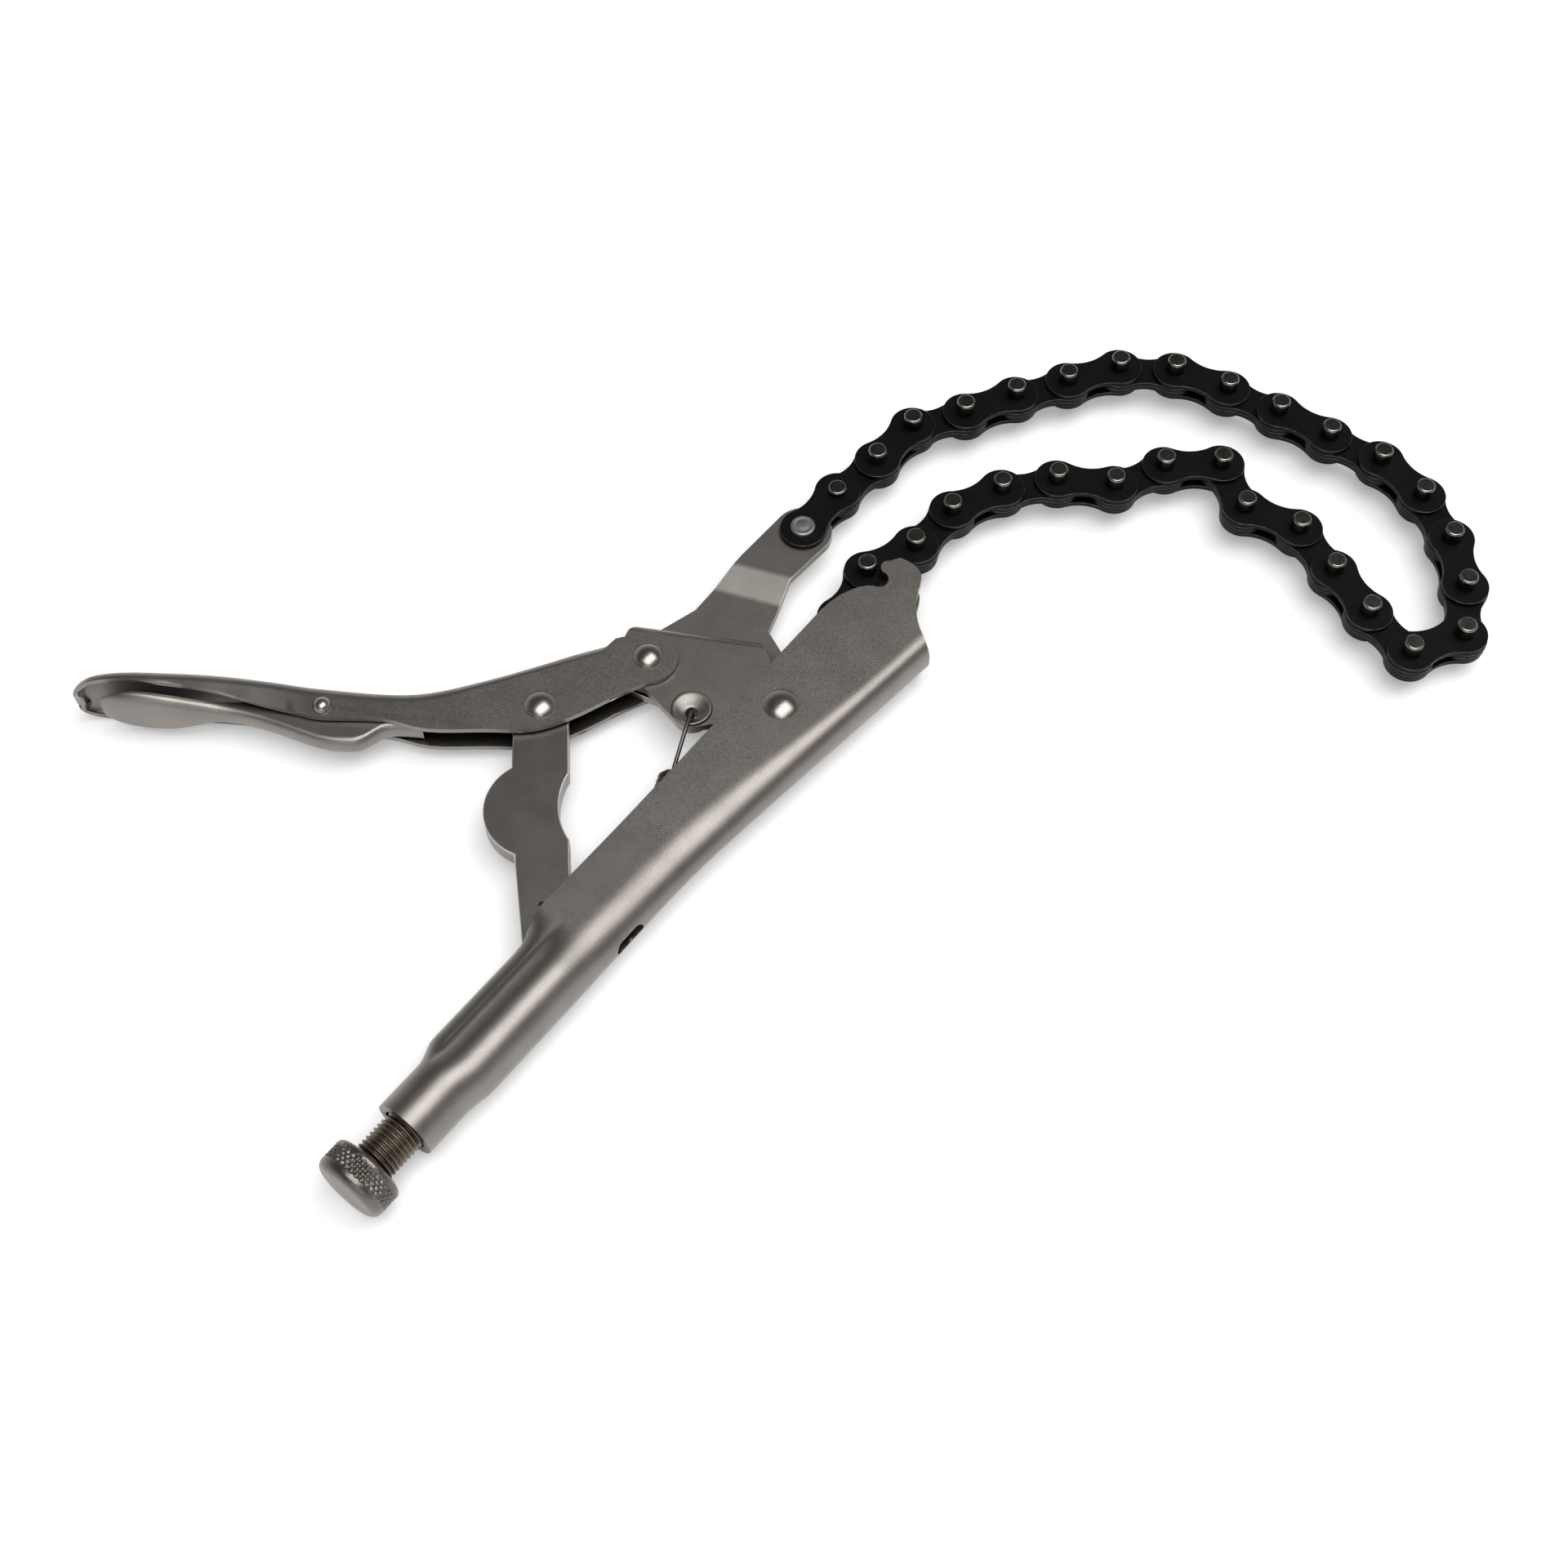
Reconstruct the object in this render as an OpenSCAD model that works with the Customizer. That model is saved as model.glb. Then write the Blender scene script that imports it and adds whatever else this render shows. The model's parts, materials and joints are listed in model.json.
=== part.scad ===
// Locking chain clamp: a pressed handle with a hook, a toggle-worked jaw arm and a pin chain.
// The tool lies on its side, X to the right, Y away and Z up. Plan places are measured from the jaw rivet.
// The handle has its own axes: U runs forward along it towards the hook, V runs square to that, towards the lever.

/* [Chain] */
// Distance between neighbouring chain pins
chain_pitch = 15.875; // [15:0.005:17]
// Diameter of a chain pin
chain_pin_d = 5.08; // [4.4:0.02:5.2]
// Length of a chain pin over both ends
chain_pin_len = 13.9; // [10:0.1:18]
// Length of the short pin next to the jaw arm
short_pin_len = 9.3; // [7:0.1:13]
// Thickness of one chain plate
chain_plate_t = 1.3; // [0.9:0.05:1.4]
// End diameter of an outer plate
outer_plate_d = 12.6; // [10:0.1:13]
// End diameter of an inner plate
inner_plate_d = 13; // [10:0.1:13.4]
// Width of a chain plate at its waist
plate_waist = 9; // [7:0.1:9.8]

/* [Handle] */
// Angle of the handle to the X axis
handle_angle = 51.5; // [50:0.1:53]
// Sheet thickness of the handle
handle_sheet = 2.1; // [1.6:0.05:2.6]
// Width between the two cheeks of the handle
handle_gap = 7.4; // [7.1:0.05:8.4]
// Outer bend radius of the spine
handle_fold_r = 4.5; // [3:0.1:5.4]
// Depth of the spine below the jaw rivet at the heel of the head
heel_depth = 19.6; // [17:0.1:22]
// Distance of the heel in front of the jaw rivet
heel_reach = 36.3; // [33:0.1:39]
// Height of the cheeks above the jaw rivet at the head
cheek_rise = 10.4; // [9.6:0.1:12]
// Height of the cheeks above the jaw rivet where the tube starts
cheek_rise_rear = 9; // [8:0.1:10]
// Distance of the hook's seat in front of the jaw rivet
hook_reach = 47.4; // [46.4:0.1:49]
// Height of the hook's seat above the jaw rivet
hook_rise = 4.6; // [3.6:0.1:5.6]
// Radius of the hook's rounded tip
hook_tip_r = 2.3; // [1.8:0.1:2.4]
// Distance from the jaw rivet to the rear face of the nut
handle_len = 145; // [140:0.5:155]
// Radius of the rolled tube
tube_r = 7.8; // [7.2:0.1:8.4]
// Drop of the rolled tube's centre below the jaw rivet
tube_drop = 3.8; // [3.4:0.1:4.6]
// Radius of the two closed lips on top of the tube
lip_r = 5.6; // [5:0.1:6]
// Height of the lips' centre above the jaw rivet
lip_rise = 2.4; // [1.8:0.1:3]
// Diameter of the nut at the end of the tube
nut_d = 16.2; // [15:0.1:18]
// Length of the nut
nut_len = 15; // [11:0.1:18]
// Length of the spring's slot in the spine
slot_len = 9.7; // [7:0.1:12]
// Width of the spring's slot in the spine
slot_w = 2.6; // [2.2:0.1:4]

/* [Jaw] */
// Thickness of the two jaw stampings
jaw_sheet = 2.4; // [1.8:0.05:2.6]
// Overall thickness of the jaw
jaw_t = 6.4; // [6:0.05:6.5]
// Radius of the jaw round the jaw rivet
jaw_front_r = 9.5; // [8:0.1:11]
// Radius of the jaw round the lever rivet
jaw_rear_r = 8.5; // [7:0.1:9]
// Radius of the arm's end round the first chain pin
arm_end_r = 8; // [7:0.1:8.4]
// Radius of the arm's heel
arm_heel_r = 11; // [10:0.1:12]
// Distance of the arm's heel back from the first chain pin
arm_heel_back = 34.7; // [33:0.1:36]
// Distance of the arm's heel to the left of the line from the jaw rivet to the chain
arm_heel_left = 17.9; // [17:0.1:19]
// Length of the step in the arm
arm_step_len = 8.5; // [6:0.1:11]
// Radius of the spring's eye
eye_r = 5.5; // [4.5:0.1:6]
// Diameter of the hole in the spring's eye
eye_hole_d = 3.6; // [2.8:0.1:5]

/* [Lever] */
// Place of the lever rivet along X
lever_pivot_x = -35; // [-37:0.1:-33]
// Place of the lever rivet along Y
lever_pivot_y = 15.6; // [14:0.1:17]
// Sheet thickness of the lever
lever_sheet = 1.6; // [1.2:0.05:2]
// Width between the two cheeks of the lever
lever_gap = 6.8; // [6.7:0.05:7.4]
// Width of the lever over its flared tail
lever_tail_w = 20; // [17:0.1:23]
// Radius of the lever round its rivet
lever_front_r = 8; // [7:0.1:9]
// Length of the lever from its rivet to the tip of its tail
lever_len = 149.3; // [146:0.1:156]
// Distance of the release rivet behind the lever rivet
release_back = 83.9; // [83:0.1:85]
// Drop of the release rivet below the lever rivet
release_drop = 15.5; // [15:0.1:16]
// Sheet thickness of the release lever
release_sheet = 1.2; // [0.9:0.05:1.5]
// Width of the release lever inside the lever
release_w = 5.8; // [5:0.05:6.2]
// Width of the release lever's spoon
spoon_w = 15.2; // [12:0.1:15.6]

/* [Toggle and screw] */
// Place of the toggle rivet along X
toggle_pivot_x = -62.5; // [-64:0.1:-61]
// Place of the toggle rivet along Y
toggle_pivot_y = 0.4; // [-0.6:0.1:1.4]
// Thickness of the toggle link
toggle_t = 5.2; // [4:0.1:5.6]
// Radius of the toggle link round its rivet
toggle_head_r = 7.2; // [6.4:0.1:7.6]
// Distance that the toggle link's lobe stands out beside its rivet
toggle_lobe = 13.1; // [11:0.1:14]
// Radius of the toggle link's lobe
toggle_lobe_r = 14.5; // [11:0.1:16]
// Depth of the hollow opposite the lobe, measured from the rivet
toggle_hollow = 6.1; // [5:0.1:7.6]
// Radius of the hollow opposite the lobe
toggle_hollow_r = 19.8; // [15:0.1:24]
// Radius of the toggle link's lower end
toggle_end_r = 6; // [5:0.1:6.4]
// Distance of the toggle link's end behind the jaw rivet
toggle_end_back = 93.7; // [92.5:0.1:95]
// Drop of the screw's axis below the jaw rivet
screw_drop = 2.4; // [2:0.1:3]
// Diameter of the screw's thread
thread_d = 11.1; // [10:0.1:11.4]
// Pitch of the screw's thread
thread_pitch = 1.27; // [1:0.01:2]
// Length of thread that shows between the nut and the knob
thread_shown = 11.5; // [8:0.1:20]
// Gap between the screw's tip and the toggle link
tip_gap = 1; // [0.8:0.05:2]
// Diameter of the knob
knob_d = 19; // [17:0.1:20]
// Length of the knob
knob_len = 8.5; // [7:0.1:14]
// Depth of the knob's knurl
knurl_depth = 0.35; // [0.1:0.05:0.6]

/* [Rivets] */
// Shank diameter of the jaw rivet
jaw_rivet_d = 6.4; // [5:0.1:7]
// Head diameter of the jaw rivet
jaw_head_d = 9.2; // [8:0.1:11]
// Shank diameter of the lever rivet
lever_rivet_d = 5.2; // [4:0.1:6]
// Head diameter of the lever rivet
lever_head_d = 7.8; // [7:0.1:9]
// Shank diameter of the toggle rivet
toggle_rivet_d = 5.6; // [4:0.1:6]
// Head diameter of the toggle rivet
toggle_head_d = 8.2; // [7:0.1:9]
// Shank diameter of the release rivet
release_rivet_d = 3; // [2.4:0.1:3.6]
// Head diameter of the release rivet
release_head_d = 4.9; // [4.2:0.1:6]
// Head diameter of the chain rivet
chain_head_d = 6.8; // [6:0.1:8]
// Height of a rivet's domed head
head_h = 2; // [1:0.1:2.4]

/* [Spring] */
// Diameter of the spring's wire
wire_d = 1.1; // [0.8:0.05:1.2]
// Outer diameter of the spring's coil
coil_d = 6.6; // [5.6:0.1:6.7]
// Number of turns in the coil
coil_turns = 28; // [20:1:28]

/* [Clearances] */
// Radial clearance of a pivot that turns
running_fit = 0.05; // [0.02:0.01:0.09]
// Radial clearance of a pin that is held fast
held_fit = 0.02; // [0.01:0.005:0.04]
// Gap between the faces of chain plates
plate_gap = 0.1; // [0.06:0.01:0.2]

/* [Hidden] */
// Links of the chain from the jaw arm on, as whole-degree headings in plan
chain_headings = [
    53, 45, 50, 19, 23, 19, 18, -4, -25, -31, -34, -33, -52, -69, -85, -100, -159,
    126, 119, 119, 153, 108, -178, -155, 173, -168, -152, -131, -147, -117
];
links = len(chain_headings);
// The chain's last pin lies in the mouth of the hook, this far from its seat along the handle's axes
tail_pin_off = [2.2, 5.4];

fixed_names = [
    "fixed_handle", "adjusting_screw", "screw_knob", "jaw_arm", "jaw_cover", "lever", "release_lever",
    "toggle_link", "spring", "jaw_rivet", "lever_rivet", "toggle_rivet", "release_rivet", "chain_rivet"
];
outer_names = [for (k = [0:2:links - 1]) str("outer_plates_", k + 1)];
pin_names = [for (k = [0:2:links - 1]) str("link_pins_", k + 1)];
inner_names = [for (k = [1:2:links - 1]) str("inner_plates_", k + 1)];

$fn = 64;
far = 400;
nickel = "#8d8a84";
dark_steel = "#4a4846";
chain_black = "#343332";
gunmetal = "#5c5a58";

// Plan place of a point given along the handle's axes
function from_handle(p) = [
    p.x * cos(handle_angle) - p.y * sin(handle_angle),
    p.x * sin(handle_angle) + p.y * cos(handle_angle)
];
function heading(a) = [cos(a), sin(a)];
function unit(p) = p / norm(p);
// Direction of the chain's route summed over its first links
function route(n) = n == 0 ? [0, 0] : route(n - 1) + heading(chain_headings[n - 1]);
function chain_pin(k) = chain_start + chain_pitch * route(k);

// Pivots in plan
jaw_pivot = [0, 0];
lever_pivot = [lever_pivot_x, lever_pivot_y];
toggle_pivot = [toggle_pivot_x, toggle_pivot_y];
hook_seat = [hook_reach, hook_rise];
chain_start = from_handle(hook_seat + tail_pin_off) - chain_pitch * route(links - 1);
toggle_end = [-toggle_end_back, -screw_drop];
release_pivot = lever_pivot - [release_back, release_drop];

// Half thicknesses from the mid plane of the tool
cheek_in = handle_gap / 2;
cheek_out = cheek_in + handle_sheet;
lever_in = lever_gap / 2;
lever_out = lever_in + lever_sheet;
jaw_half = jaw_t / 2;
tongue_half = jaw_sheet / 2;
inner_z = plate_gap / 2;
outer_z = inner_z + chain_plate_t + plate_gap;
chain_half = outer_z + chain_plate_t;
chain_pin_r = chain_pin_d / 2;

// The whole tool stands on its widest piece with the middle of its outline over the origin
lie_height = max(lever_tail_w, knob_d, nut_d, 2 * tube_r) / 2;
lever_tip_x = lever_pivot_x - lever_len;
knob_rear = handle_len + thread_shown + knob_len;
knob_foot = from_handle([-knob_rear, -screw_drop]) - [0, knob_d / 2 * cos(handle_angle)];
pin_xs = [for (k = [0:links]) chain_pin(k).x];
pin_ys = [for (k = [0:links]) chain_pin(k).y];
middle = [
    (lever_tip_x + max(pin_xs) + inner_plate_d / 2) / 2,
    (knob_foot.y + max(pin_ys) + inner_plate_d / 2) / 2
];
module placed() { translate([-middle.x, -middle.y, lie_height]) children(); }
module along_handle() { rotate([0, 0, handle_angle]) children(); }
// Stands a flat section up so that it runs along U, its X along V and its Y along Z
module along_u(from, to) {
    translate([from, 0, 0])
        rotate([90, 0, 90])
            linear_extrude(height = to - from) children();
}
// Turned piece whose axis runs backward along U from a given place on the screw's axis
module turned_back(from) {
    translate([-from, -screw_drop, 0])
        rotate([0, -90, 0])
            rotate_extrude() children();
}
module slab(low, high) { translate([0, 0, low]) linear_extrude(height = high - low) children(); }
module both_sides(low, high) {
    slab(low, high) children();
    slab(-high, -low) children();
}
module bore(p, r) { translate([p.x, p.y, -far / 2]) cylinder(r = r, h = far); }

// Four points of the straight sides that touch two discs, each given as x, y and radius
function disc_sides(a, b) =
    let (
        line = [b.x - a.x, b.y - a.y],
        turn = atan2(line.y, line.x),
        lean = acos((a.z - b.z) / norm(line)),
        at = [a.x, a.y],
        to = [b.x, b.y]
    )
    [
        at + a.z * heading(turn + lean),
        at + a.z * heading(turn - lean),
        to + b.z * heading(turn - lean),
        to + b.z * heading(turn + lean)
    ];
// Flat shape of discs joined by straight sides, which lie a hair inside the tangents so that they cross the discs
side_sink = 0.02;
function disc(p, r) = [p.x, p.y, r];
function sunk(d) = [d.x, d.y, d.z - side_sink];
module limb(discs) {
    for (d = discs) {
        translate([d.x, d.y]) circle(r = d.z);
    }
    for (i = [0:len(discs) - 2]) {
        polygon(disc_sides(sunk(discs[i]), sunk(discs[i + 1])));
    }
}

// Rivet with a domed head at each end, standing on faces at a half height
module rivet(p, shank_d, head_d, half) {
    dome_r = (head_d * head_d / 4 + head_h * head_h) / (2 * head_h);
    translate([p.x, p.y, 0]) {
        cylinder(d = shank_d, h = 2 * half, center = true);
        for (s = [-1, 1]) {
            scale([1, 1, s])
                rotate_extrude()
                    intersection() {
                        translate([0, half + head_h - dome_r]) circle(r = dome_r);
                        translate([0, half]) square([head_d / 2, head_h]);
                    }
        }
    }
}

// Handle
// Section of the folded channel, open towards +V, with its spine at zero
module channel_section(half, r) {
    translate([r, -half]) square([far, 2 * half]);
    translate([0, r - half]) square([r, 2 * (half - r)]);
    for (s = [-1, 1]) {
        translate([r, s * (half - r)]) circle(r = r);
    }
}
spine_rear = tube_r + tube_drop;
spine_break = [-50, -spine_rear];
spine_slope = atan2(heel_depth - spine_rear, heel_reach - spine_break.x);
tube_front = -toggle_end_back + 2.5;
// The spine slopes down to the heel in front of its break and runs parallel to U behind it
module front_prism(inset) {
    translate(spine_break)
        rotate([0, 0, -spine_slope])
            translate([0, inset, 0])
                along_u(-far / 4, far / 2) channel_section(cheek_out - inset, handle_fold_r - inset);
}
module rear_prism(inset, from) {
    translate([0, inset - spine_rear, 0])
        along_u(from, far / 4) channel_section(cheek_out - inset, handle_fold_r - inset);
}
hook_r = chain_pin_r + 0.16;
hook_tip = hook_seat + [hook_r + hook_tip_r - 0.15, 0];
head_disc = disc(hook_seat + [2.9, -6.2], 6);
knuckle = disc(hook_seat + [6.6, -2.2], 2.4);
// Side outline of the cheeks, from the tube forward to the hook
module cheek_outline() {
    difference() {
        union() {
            polygon([
                [tube_front - 5, -far / 10],
                [tube_front - 5, cheek_rise_rear],
                [hook_reach - 19.4, cheek_rise],
                [hook_reach - 10.9, cheek_rise - 0.8],
                hook_seat + [-5.5, 2.5],
                hook_seat + [0.4 - hook_r, -0.3],
                hook_seat + [4, -6],
                hook_seat + [-1.4, -12.7],
                hook_seat + [-6, -18.1],
                [heel_reach + 1.9, 1.6 - heel_depth],
                [heel_reach, -heel_depth - 0.9],
                [heel_reach - 3, -far / 10]
            ]);
            limb([head_disc, knuckle, disc(hook_tip, hook_tip_r)]);
        }
        translate(hook_seat) circle(r = hook_r);
    }
}
// Half of the plan in front of the spine's mitre, moved by an offset, or behind it
break_lap = 2;
module beyond_break(offset, side) {
    translate(spine_break)
        rotate(-spine_slope / 2)
            translate([side > 0 ? offset : offset - far, -far / 2]) square(far);
}
// Slot in the mid plane for the toggle link's lower end, which leaves it towards its rivet
toggle_way = 1.2;
toggle_slot_half = toggle_t / 2 + 0.4;
toggle_foot = from_handle(toggle_end);
module toggle_slot() {
    way = unit(toggle_pivot - toggle_foot);
    r = toggle_end_r + toggle_way;
    slab(-toggle_slot_half, toggle_slot_half)
        limb([disc(toggle_foot, r), disc(toggle_foot + 30 * way, r)]);
}
nut_front = handle_len - nut_len;
nut_chamfer = 0.8;
module tube_outside() {
    translate([0, -tube_drop, 0])
        rotate([0, 90, 0]) {
            translate([0, 0, -nut_front - 1]) cylinder(r = tube_r, h = nut_front + 1 + tube_front);
            translate([0, 0, tube_front]) cylinder(r1 = tube_r, r2 = cheek_out - 0.1, h = 16);
        }
    translate([-nut_front - 1, lip_rise, 0])
        rotate([0, 90, 0]) cylinder(r = lip_r, h = nut_front + 1 + tube_front);
    turned_back(nut_front)
        polygon([
            [0, -2 * nut_chamfer],
            [nut_d / 2 - nut_chamfer, -2 * nut_chamfer],
            [nut_d / 2, 0],
            [nut_d / 2, nut_len - nut_chamfer],
            [nut_d / 2 - nut_chamfer, nut_len],
            [0, nut_len]
        ]);
}
spring_foot = [-74, -spine_rear];
module front_channel() {
    difference() {
        intersection() {
            slab(-far, far)
                intersection() {
                    cheek_outline();
                    beyond_break(-break_lap, 1);
                }
            front_prism(0);
        }
        front_prism(handle_sheet);
    }
}
module rear_channel() {
    difference() {
        union() {
            intersection() {
                slab(-far, far)
                    intersection() {
                        cheek_outline();
                        beyond_break(0, -1);
                    }
                rear_prism(0, tube_front - 5);
            }
            tube_outside();
        }
        rear_prism(handle_sheet, tube_front);
        turned_back(toggle_end_back) square([thread_d / 2 + 0.3, nut_front - toggle_end_back]);
        turned_back(nut_front - 1) square([thread_d / 2 + running_fit, nut_len + 2]);
        translate([spring_foot.x, spring_foot.y, 0])
            rotate([90, 0, 0])
                linear_extrude(height = 4 * handle_sheet, center = true)
                    limb([for (s = [-1, 1]) [s * (slot_len - slot_w) / 2, 0, slot_w / 2]]);
    }
}
module fixed_handle() {
    color(nickel)
        difference() {
            along_handle() {
                front_channel();
                rear_channel();
            }
            toggle_slot();
            bore(jaw_pivot, jaw_rivet_d / 2 + held_fit);
        }
}

// Screw and knob
screw_tip = toggle_end_back + toggle_end_r + tip_gap;
knob_front = handle_len + thread_shown;
thread_depth = 0.55 * thread_pitch;
journal_r = thread_d / 2 - 1.6;
journal_len = knob_len - 1.5;
module adjusting_screw() {
    grooves = floor((thread_shown - thread_pitch) / thread_pitch);
    color(gunmetal)
        along_handle()
            turned_back(0)
                difference() {
                    union() {
                        polygon([
                            [0, screw_tip],
                            [thread_d / 2 - 1, screw_tip],
                            [thread_d / 2, screw_tip + 1],
                            [thread_d / 2, knob_front - running_fit],
                            [0, knob_front - running_fit]
                        ]);
                        translate([0, knob_front - 1]) square([journal_r, journal_len]);
                    }
                    for (i = [0:grooves]) {
                        translate([thread_d / 2, handle_len + (i + 0.7) * thread_pitch])
                            polygon([[0.1, -thread_pitch * 0.45], [-thread_depth, 0], [0.1, thread_pitch * 0.45]]);
                    }
                }
}
module screw_knob() {
    rim = 1.4;
    r = knob_d / 2;
    color(nickel)
        along_handle()
            turned_back(0)
                difference() {
                    union() {
                        translate([0, knob_front]) square([r - rim, knob_len]);
                        translate([0, knob_front + rim]) square([r - knurl_depth, knob_len - 2 * rim]);
                        for (end = [knob_front + rim, knob_front + knob_len - rim]) {
                            translate([r - rim, end]) circle(r = rim);
                        }
                    }
                    translate([0, knob_front - 1])
                        square([journal_r + running_fit, journal_len + running_fit]);
                }
}

// Jaw
arm_dir = unit(chain_start);
arm_side = [arm_dir.y, -arm_dir.x];
// The arm as discs: how far along the line from the jaw rivet to the chain, how far to its right, and radius
function on_arm(back, right) = chain_start - back * arm_dir + right * arm_side;
arm_heel = disc(on_arm(arm_heel_back, -arm_heel_left), arm_heel_r);
module arm_outline() {
    limb([
        arm_heel,
        disc(on_arm(13.3, -9.1), 7.7),
        disc(chain_start, arm_end_r)
    ]);
    limb([
        disc(jaw_pivot, jaw_front_r),
        arm_heel,
        disc(lever_pivot, jaw_rear_r),
        disc(jaw_pivot, jaw_front_r)
    ]);
    polygon([jaw_pivot, [arm_heel.x, arm_heel.y], lever_pivot]);
}
// The plate steps up from the jaw's lower face to a tongue in the mid plane, across a slanting crease
step_foot = on_arm(25, 0);
step_turn = 17.2;
module stepped_sheet() {
    translate([step_foot.x, step_foot.y, 0])
        rotate([90, 0, 90 - step_turn])
            linear_extrude(height = far, center = true)
                polygon([
                    [-far / 2, -jaw_half],
                    [0, -jaw_half],
                    [arm_step_len, -tongue_half],
                    [far / 2, -tongue_half],
                    [far / 2, tongue_half],
                    [arm_step_len, tongue_half],
                    [0, jaw_sheet - jaw_half],
                    [-far / 2, jaw_sheet - jaw_half]
                ]);
}
module jaw_bores() {
    bore(jaw_pivot, jaw_rivet_d / 2 + running_fit);
    bore(lever_pivot, lever_rivet_d / 2 + running_fit);
}
module jaw_arm() {
    color(nickel)
        difference() {
            intersection() {
                slab(-jaw_half - 1, tongue_half + 1) arm_outline();
                stepped_sheet();
            }
            jaw_bores();
            bore(chain_start, chain_pin_r + running_fit);
        }
}
// The cover's upper edge is folded down to the arm plate
flange_left = lever_pivot + [-2, 11.8];
flange_right = [-5.4, 22.2];
flange_run = norm(flange_right - flange_left);
flange_turn = atan2(flange_right.y - flange_left.y, flange_right.x - flange_left.x);
eye = lever_pivot + [11.7, -15.3];
eye_hole = eye + [0.1, -1.5];
eye_margin = 0.5;
cover_foot = jaw_sheet - jaw_half;
cover_low = jaw_half - jaw_sheet;
module cover_outline() {
    limb([disc(lever_pivot, jaw_rear_r), disc(jaw_pivot, jaw_front_r)]);
    limb([disc(lever_pivot + [3, -5.5], 5), disc(eye, eye_r), disc([-10, 2], 5)]);
    limb([disc(lever_pivot, jaw_rear_r), disc(flange_left + [0.6, -5], 5)]);
    polygon([
        lever_pivot,
        flange_left,
        flange_right,
        [-2.8, 14.4],
        [-1, 8],
        jaw_pivot
    ]);
}
// Solid under the fold: everything inside the rounded edge, set in by the sheet
module under_fold(inset) {
    r = jaw_sheet + 0.6 - inset;
    translate([flange_left.x, flange_left.y, 0])
        rotate([0, 0, flange_turn])
            translate([-far / 4, 0, 0])
                rotate([90, 0, 90])
                    linear_extrude(height = far / 2) {
                        translate([-far / 2, -far / 2]) square([far / 2 - inset, far / 2 + jaw_half - inset - r]);
                        translate([-far / 2, -far / 2]) square([far / 2 - inset - r, far / 2 + jaw_half - inset]);
                        translate([-inset - r, jaw_half - inset - r]) circle(r = r);
                    }
}
module jaw_cover() {
    color(nickel)
        difference() {
            union() {
                difference() {
                    intersection() {
                        slab(cover_foot, jaw_half) cover_outline();
                        under_fold(0);
                    }
                    intersection() {
                        under_fold(jaw_sheet);
                        slab(-far, cover_low) square(far, center = true);
                    }
                }
                slab(cover_foot, jaw_half) translate(eye) circle(r = eye_r - eye_margin);
            }
            jaw_bores();
            bore(eye_hole, eye_hole_d / 2);
        }
}

// Lever and release lever
// Smooth values between hand-set stations
function spline(a, b, c, d, t) =
    b + 0.5 * t * (c - a + t * (2 * a - 5 * b + 4 * c - d + t * (3 * (b - c) + d - a)));
function smooth(s, n) =
    let (last = len(s) - 1)
    [
        for (i = [0:last - 1]) for (j = [0:n - 1])
            spline(s[max(i - 1, 0)], s[i], s[i + 1], s[min(i + 2, last)], j / n),
        s[last]
    ];
arch_steps = 12;
// One U section: x, web, rim, half width and arch height, in plan and Z. Side is 1 with the web on top
function arch_points(s, inset, side) =
    let (x = s[0], web = s[1], rim = s[2], half = s[3] - inset, arch = s[4])
    concat(
        [[x, rim, -half]],
        [
            for (i = [0:arch_steps])
                let (a = 180 - 180 * i / arch_steps)
                [x, web + side * ((arch - inset) * sin(a) - arch), half * cos(a)]
        ],
        [[x, rim, half]]
    );
function u_ring(s, t, side) =
    let (out = arch_points(s, 0, side), in = arch_points(s, t, side), m = len(in))
    concat(out, [for (i = [1:m]) in[m - i]]);
// Channel of sheet t lofted through smoothed stations
module u_loft(stations, t, side) {
    rings = [for (s = smooth(stations, 4)) u_ring(s, t, side)];
    n = len(rings);
    m = len(rings[0]);
    last = (n - 1) * m;
    sides = [
        for (i = [0:n - 2]) for (j = [0:m - 1])
            let (a = i * m + j, b = i * m + (j + 1) % m)
            each [[a, b, b + m], [a, b + m, a + m]]
    ];
    caps = [
        for (j = [0:m / 2 - 2])
            let (k = m - 1 - j)
            each [
                [j, k, k - 1],
                [j, k - 1, j + 1],
                [last + j, last + k - 1, last + k],
                [last + j, last + j + 1, last + k - 1]
            ]
    ];
    faces = concat(sides, caps);
    polyhedron(
        points = [for (r = rings) each r],
        faces = side > 0 ? faces : [for (f = faces) [f[2], f[1], f[0]]]
    );
}
lever_arch = 4;
tail_half = lever_tail_w / 2;
// Stations of the lever: place from the lever rivet, then web and rim heights from it, half width and arch
lever_stations = [
    for (s = [
        [-9.7, 5.6, -13.3, lever_out, lever_arch],
        [-19.3, 2.5, -18.9, lever_out, lever_arch],
        [-29.2, -1.2, -22.5, lever_out, lever_arch],
        [-42, -5.6, -22.6, lever_out, lever_arch],
        [-56.5, -9.5, -22.5, lever_out, lever_arch],
        [-68, -10, -19.5, lever_out, lever_arch],
        [-84, -8.4, -19, lever_out, lever_arch],
        [-90, -7.6, -17.6, lever_out, lever_arch],
        [-99, -6.4, -15.6, lever_out + 0.9, lever_arch],
        [-114, -5.4, -12.4, tail_half - 1.6, 4.6],
        [6.3 + 10 - lever_len, -5.3, -10.6, tail_half, 4.6],
        [6.3 - lever_len, -6, -10.4, tail_half - 1, 3.9],
        [1.6 - lever_len, -7.2, -10.9, tail_half - 3.8, 3.2],
        [-lever_len, -8.2, -11.1, tail_half - 6.4, 2.5]
    ])
        s + [lever_pivot_x, lever_pivot_y, lever_pivot_y, 0, 0]
];
front = lever_stations[0];
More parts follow.
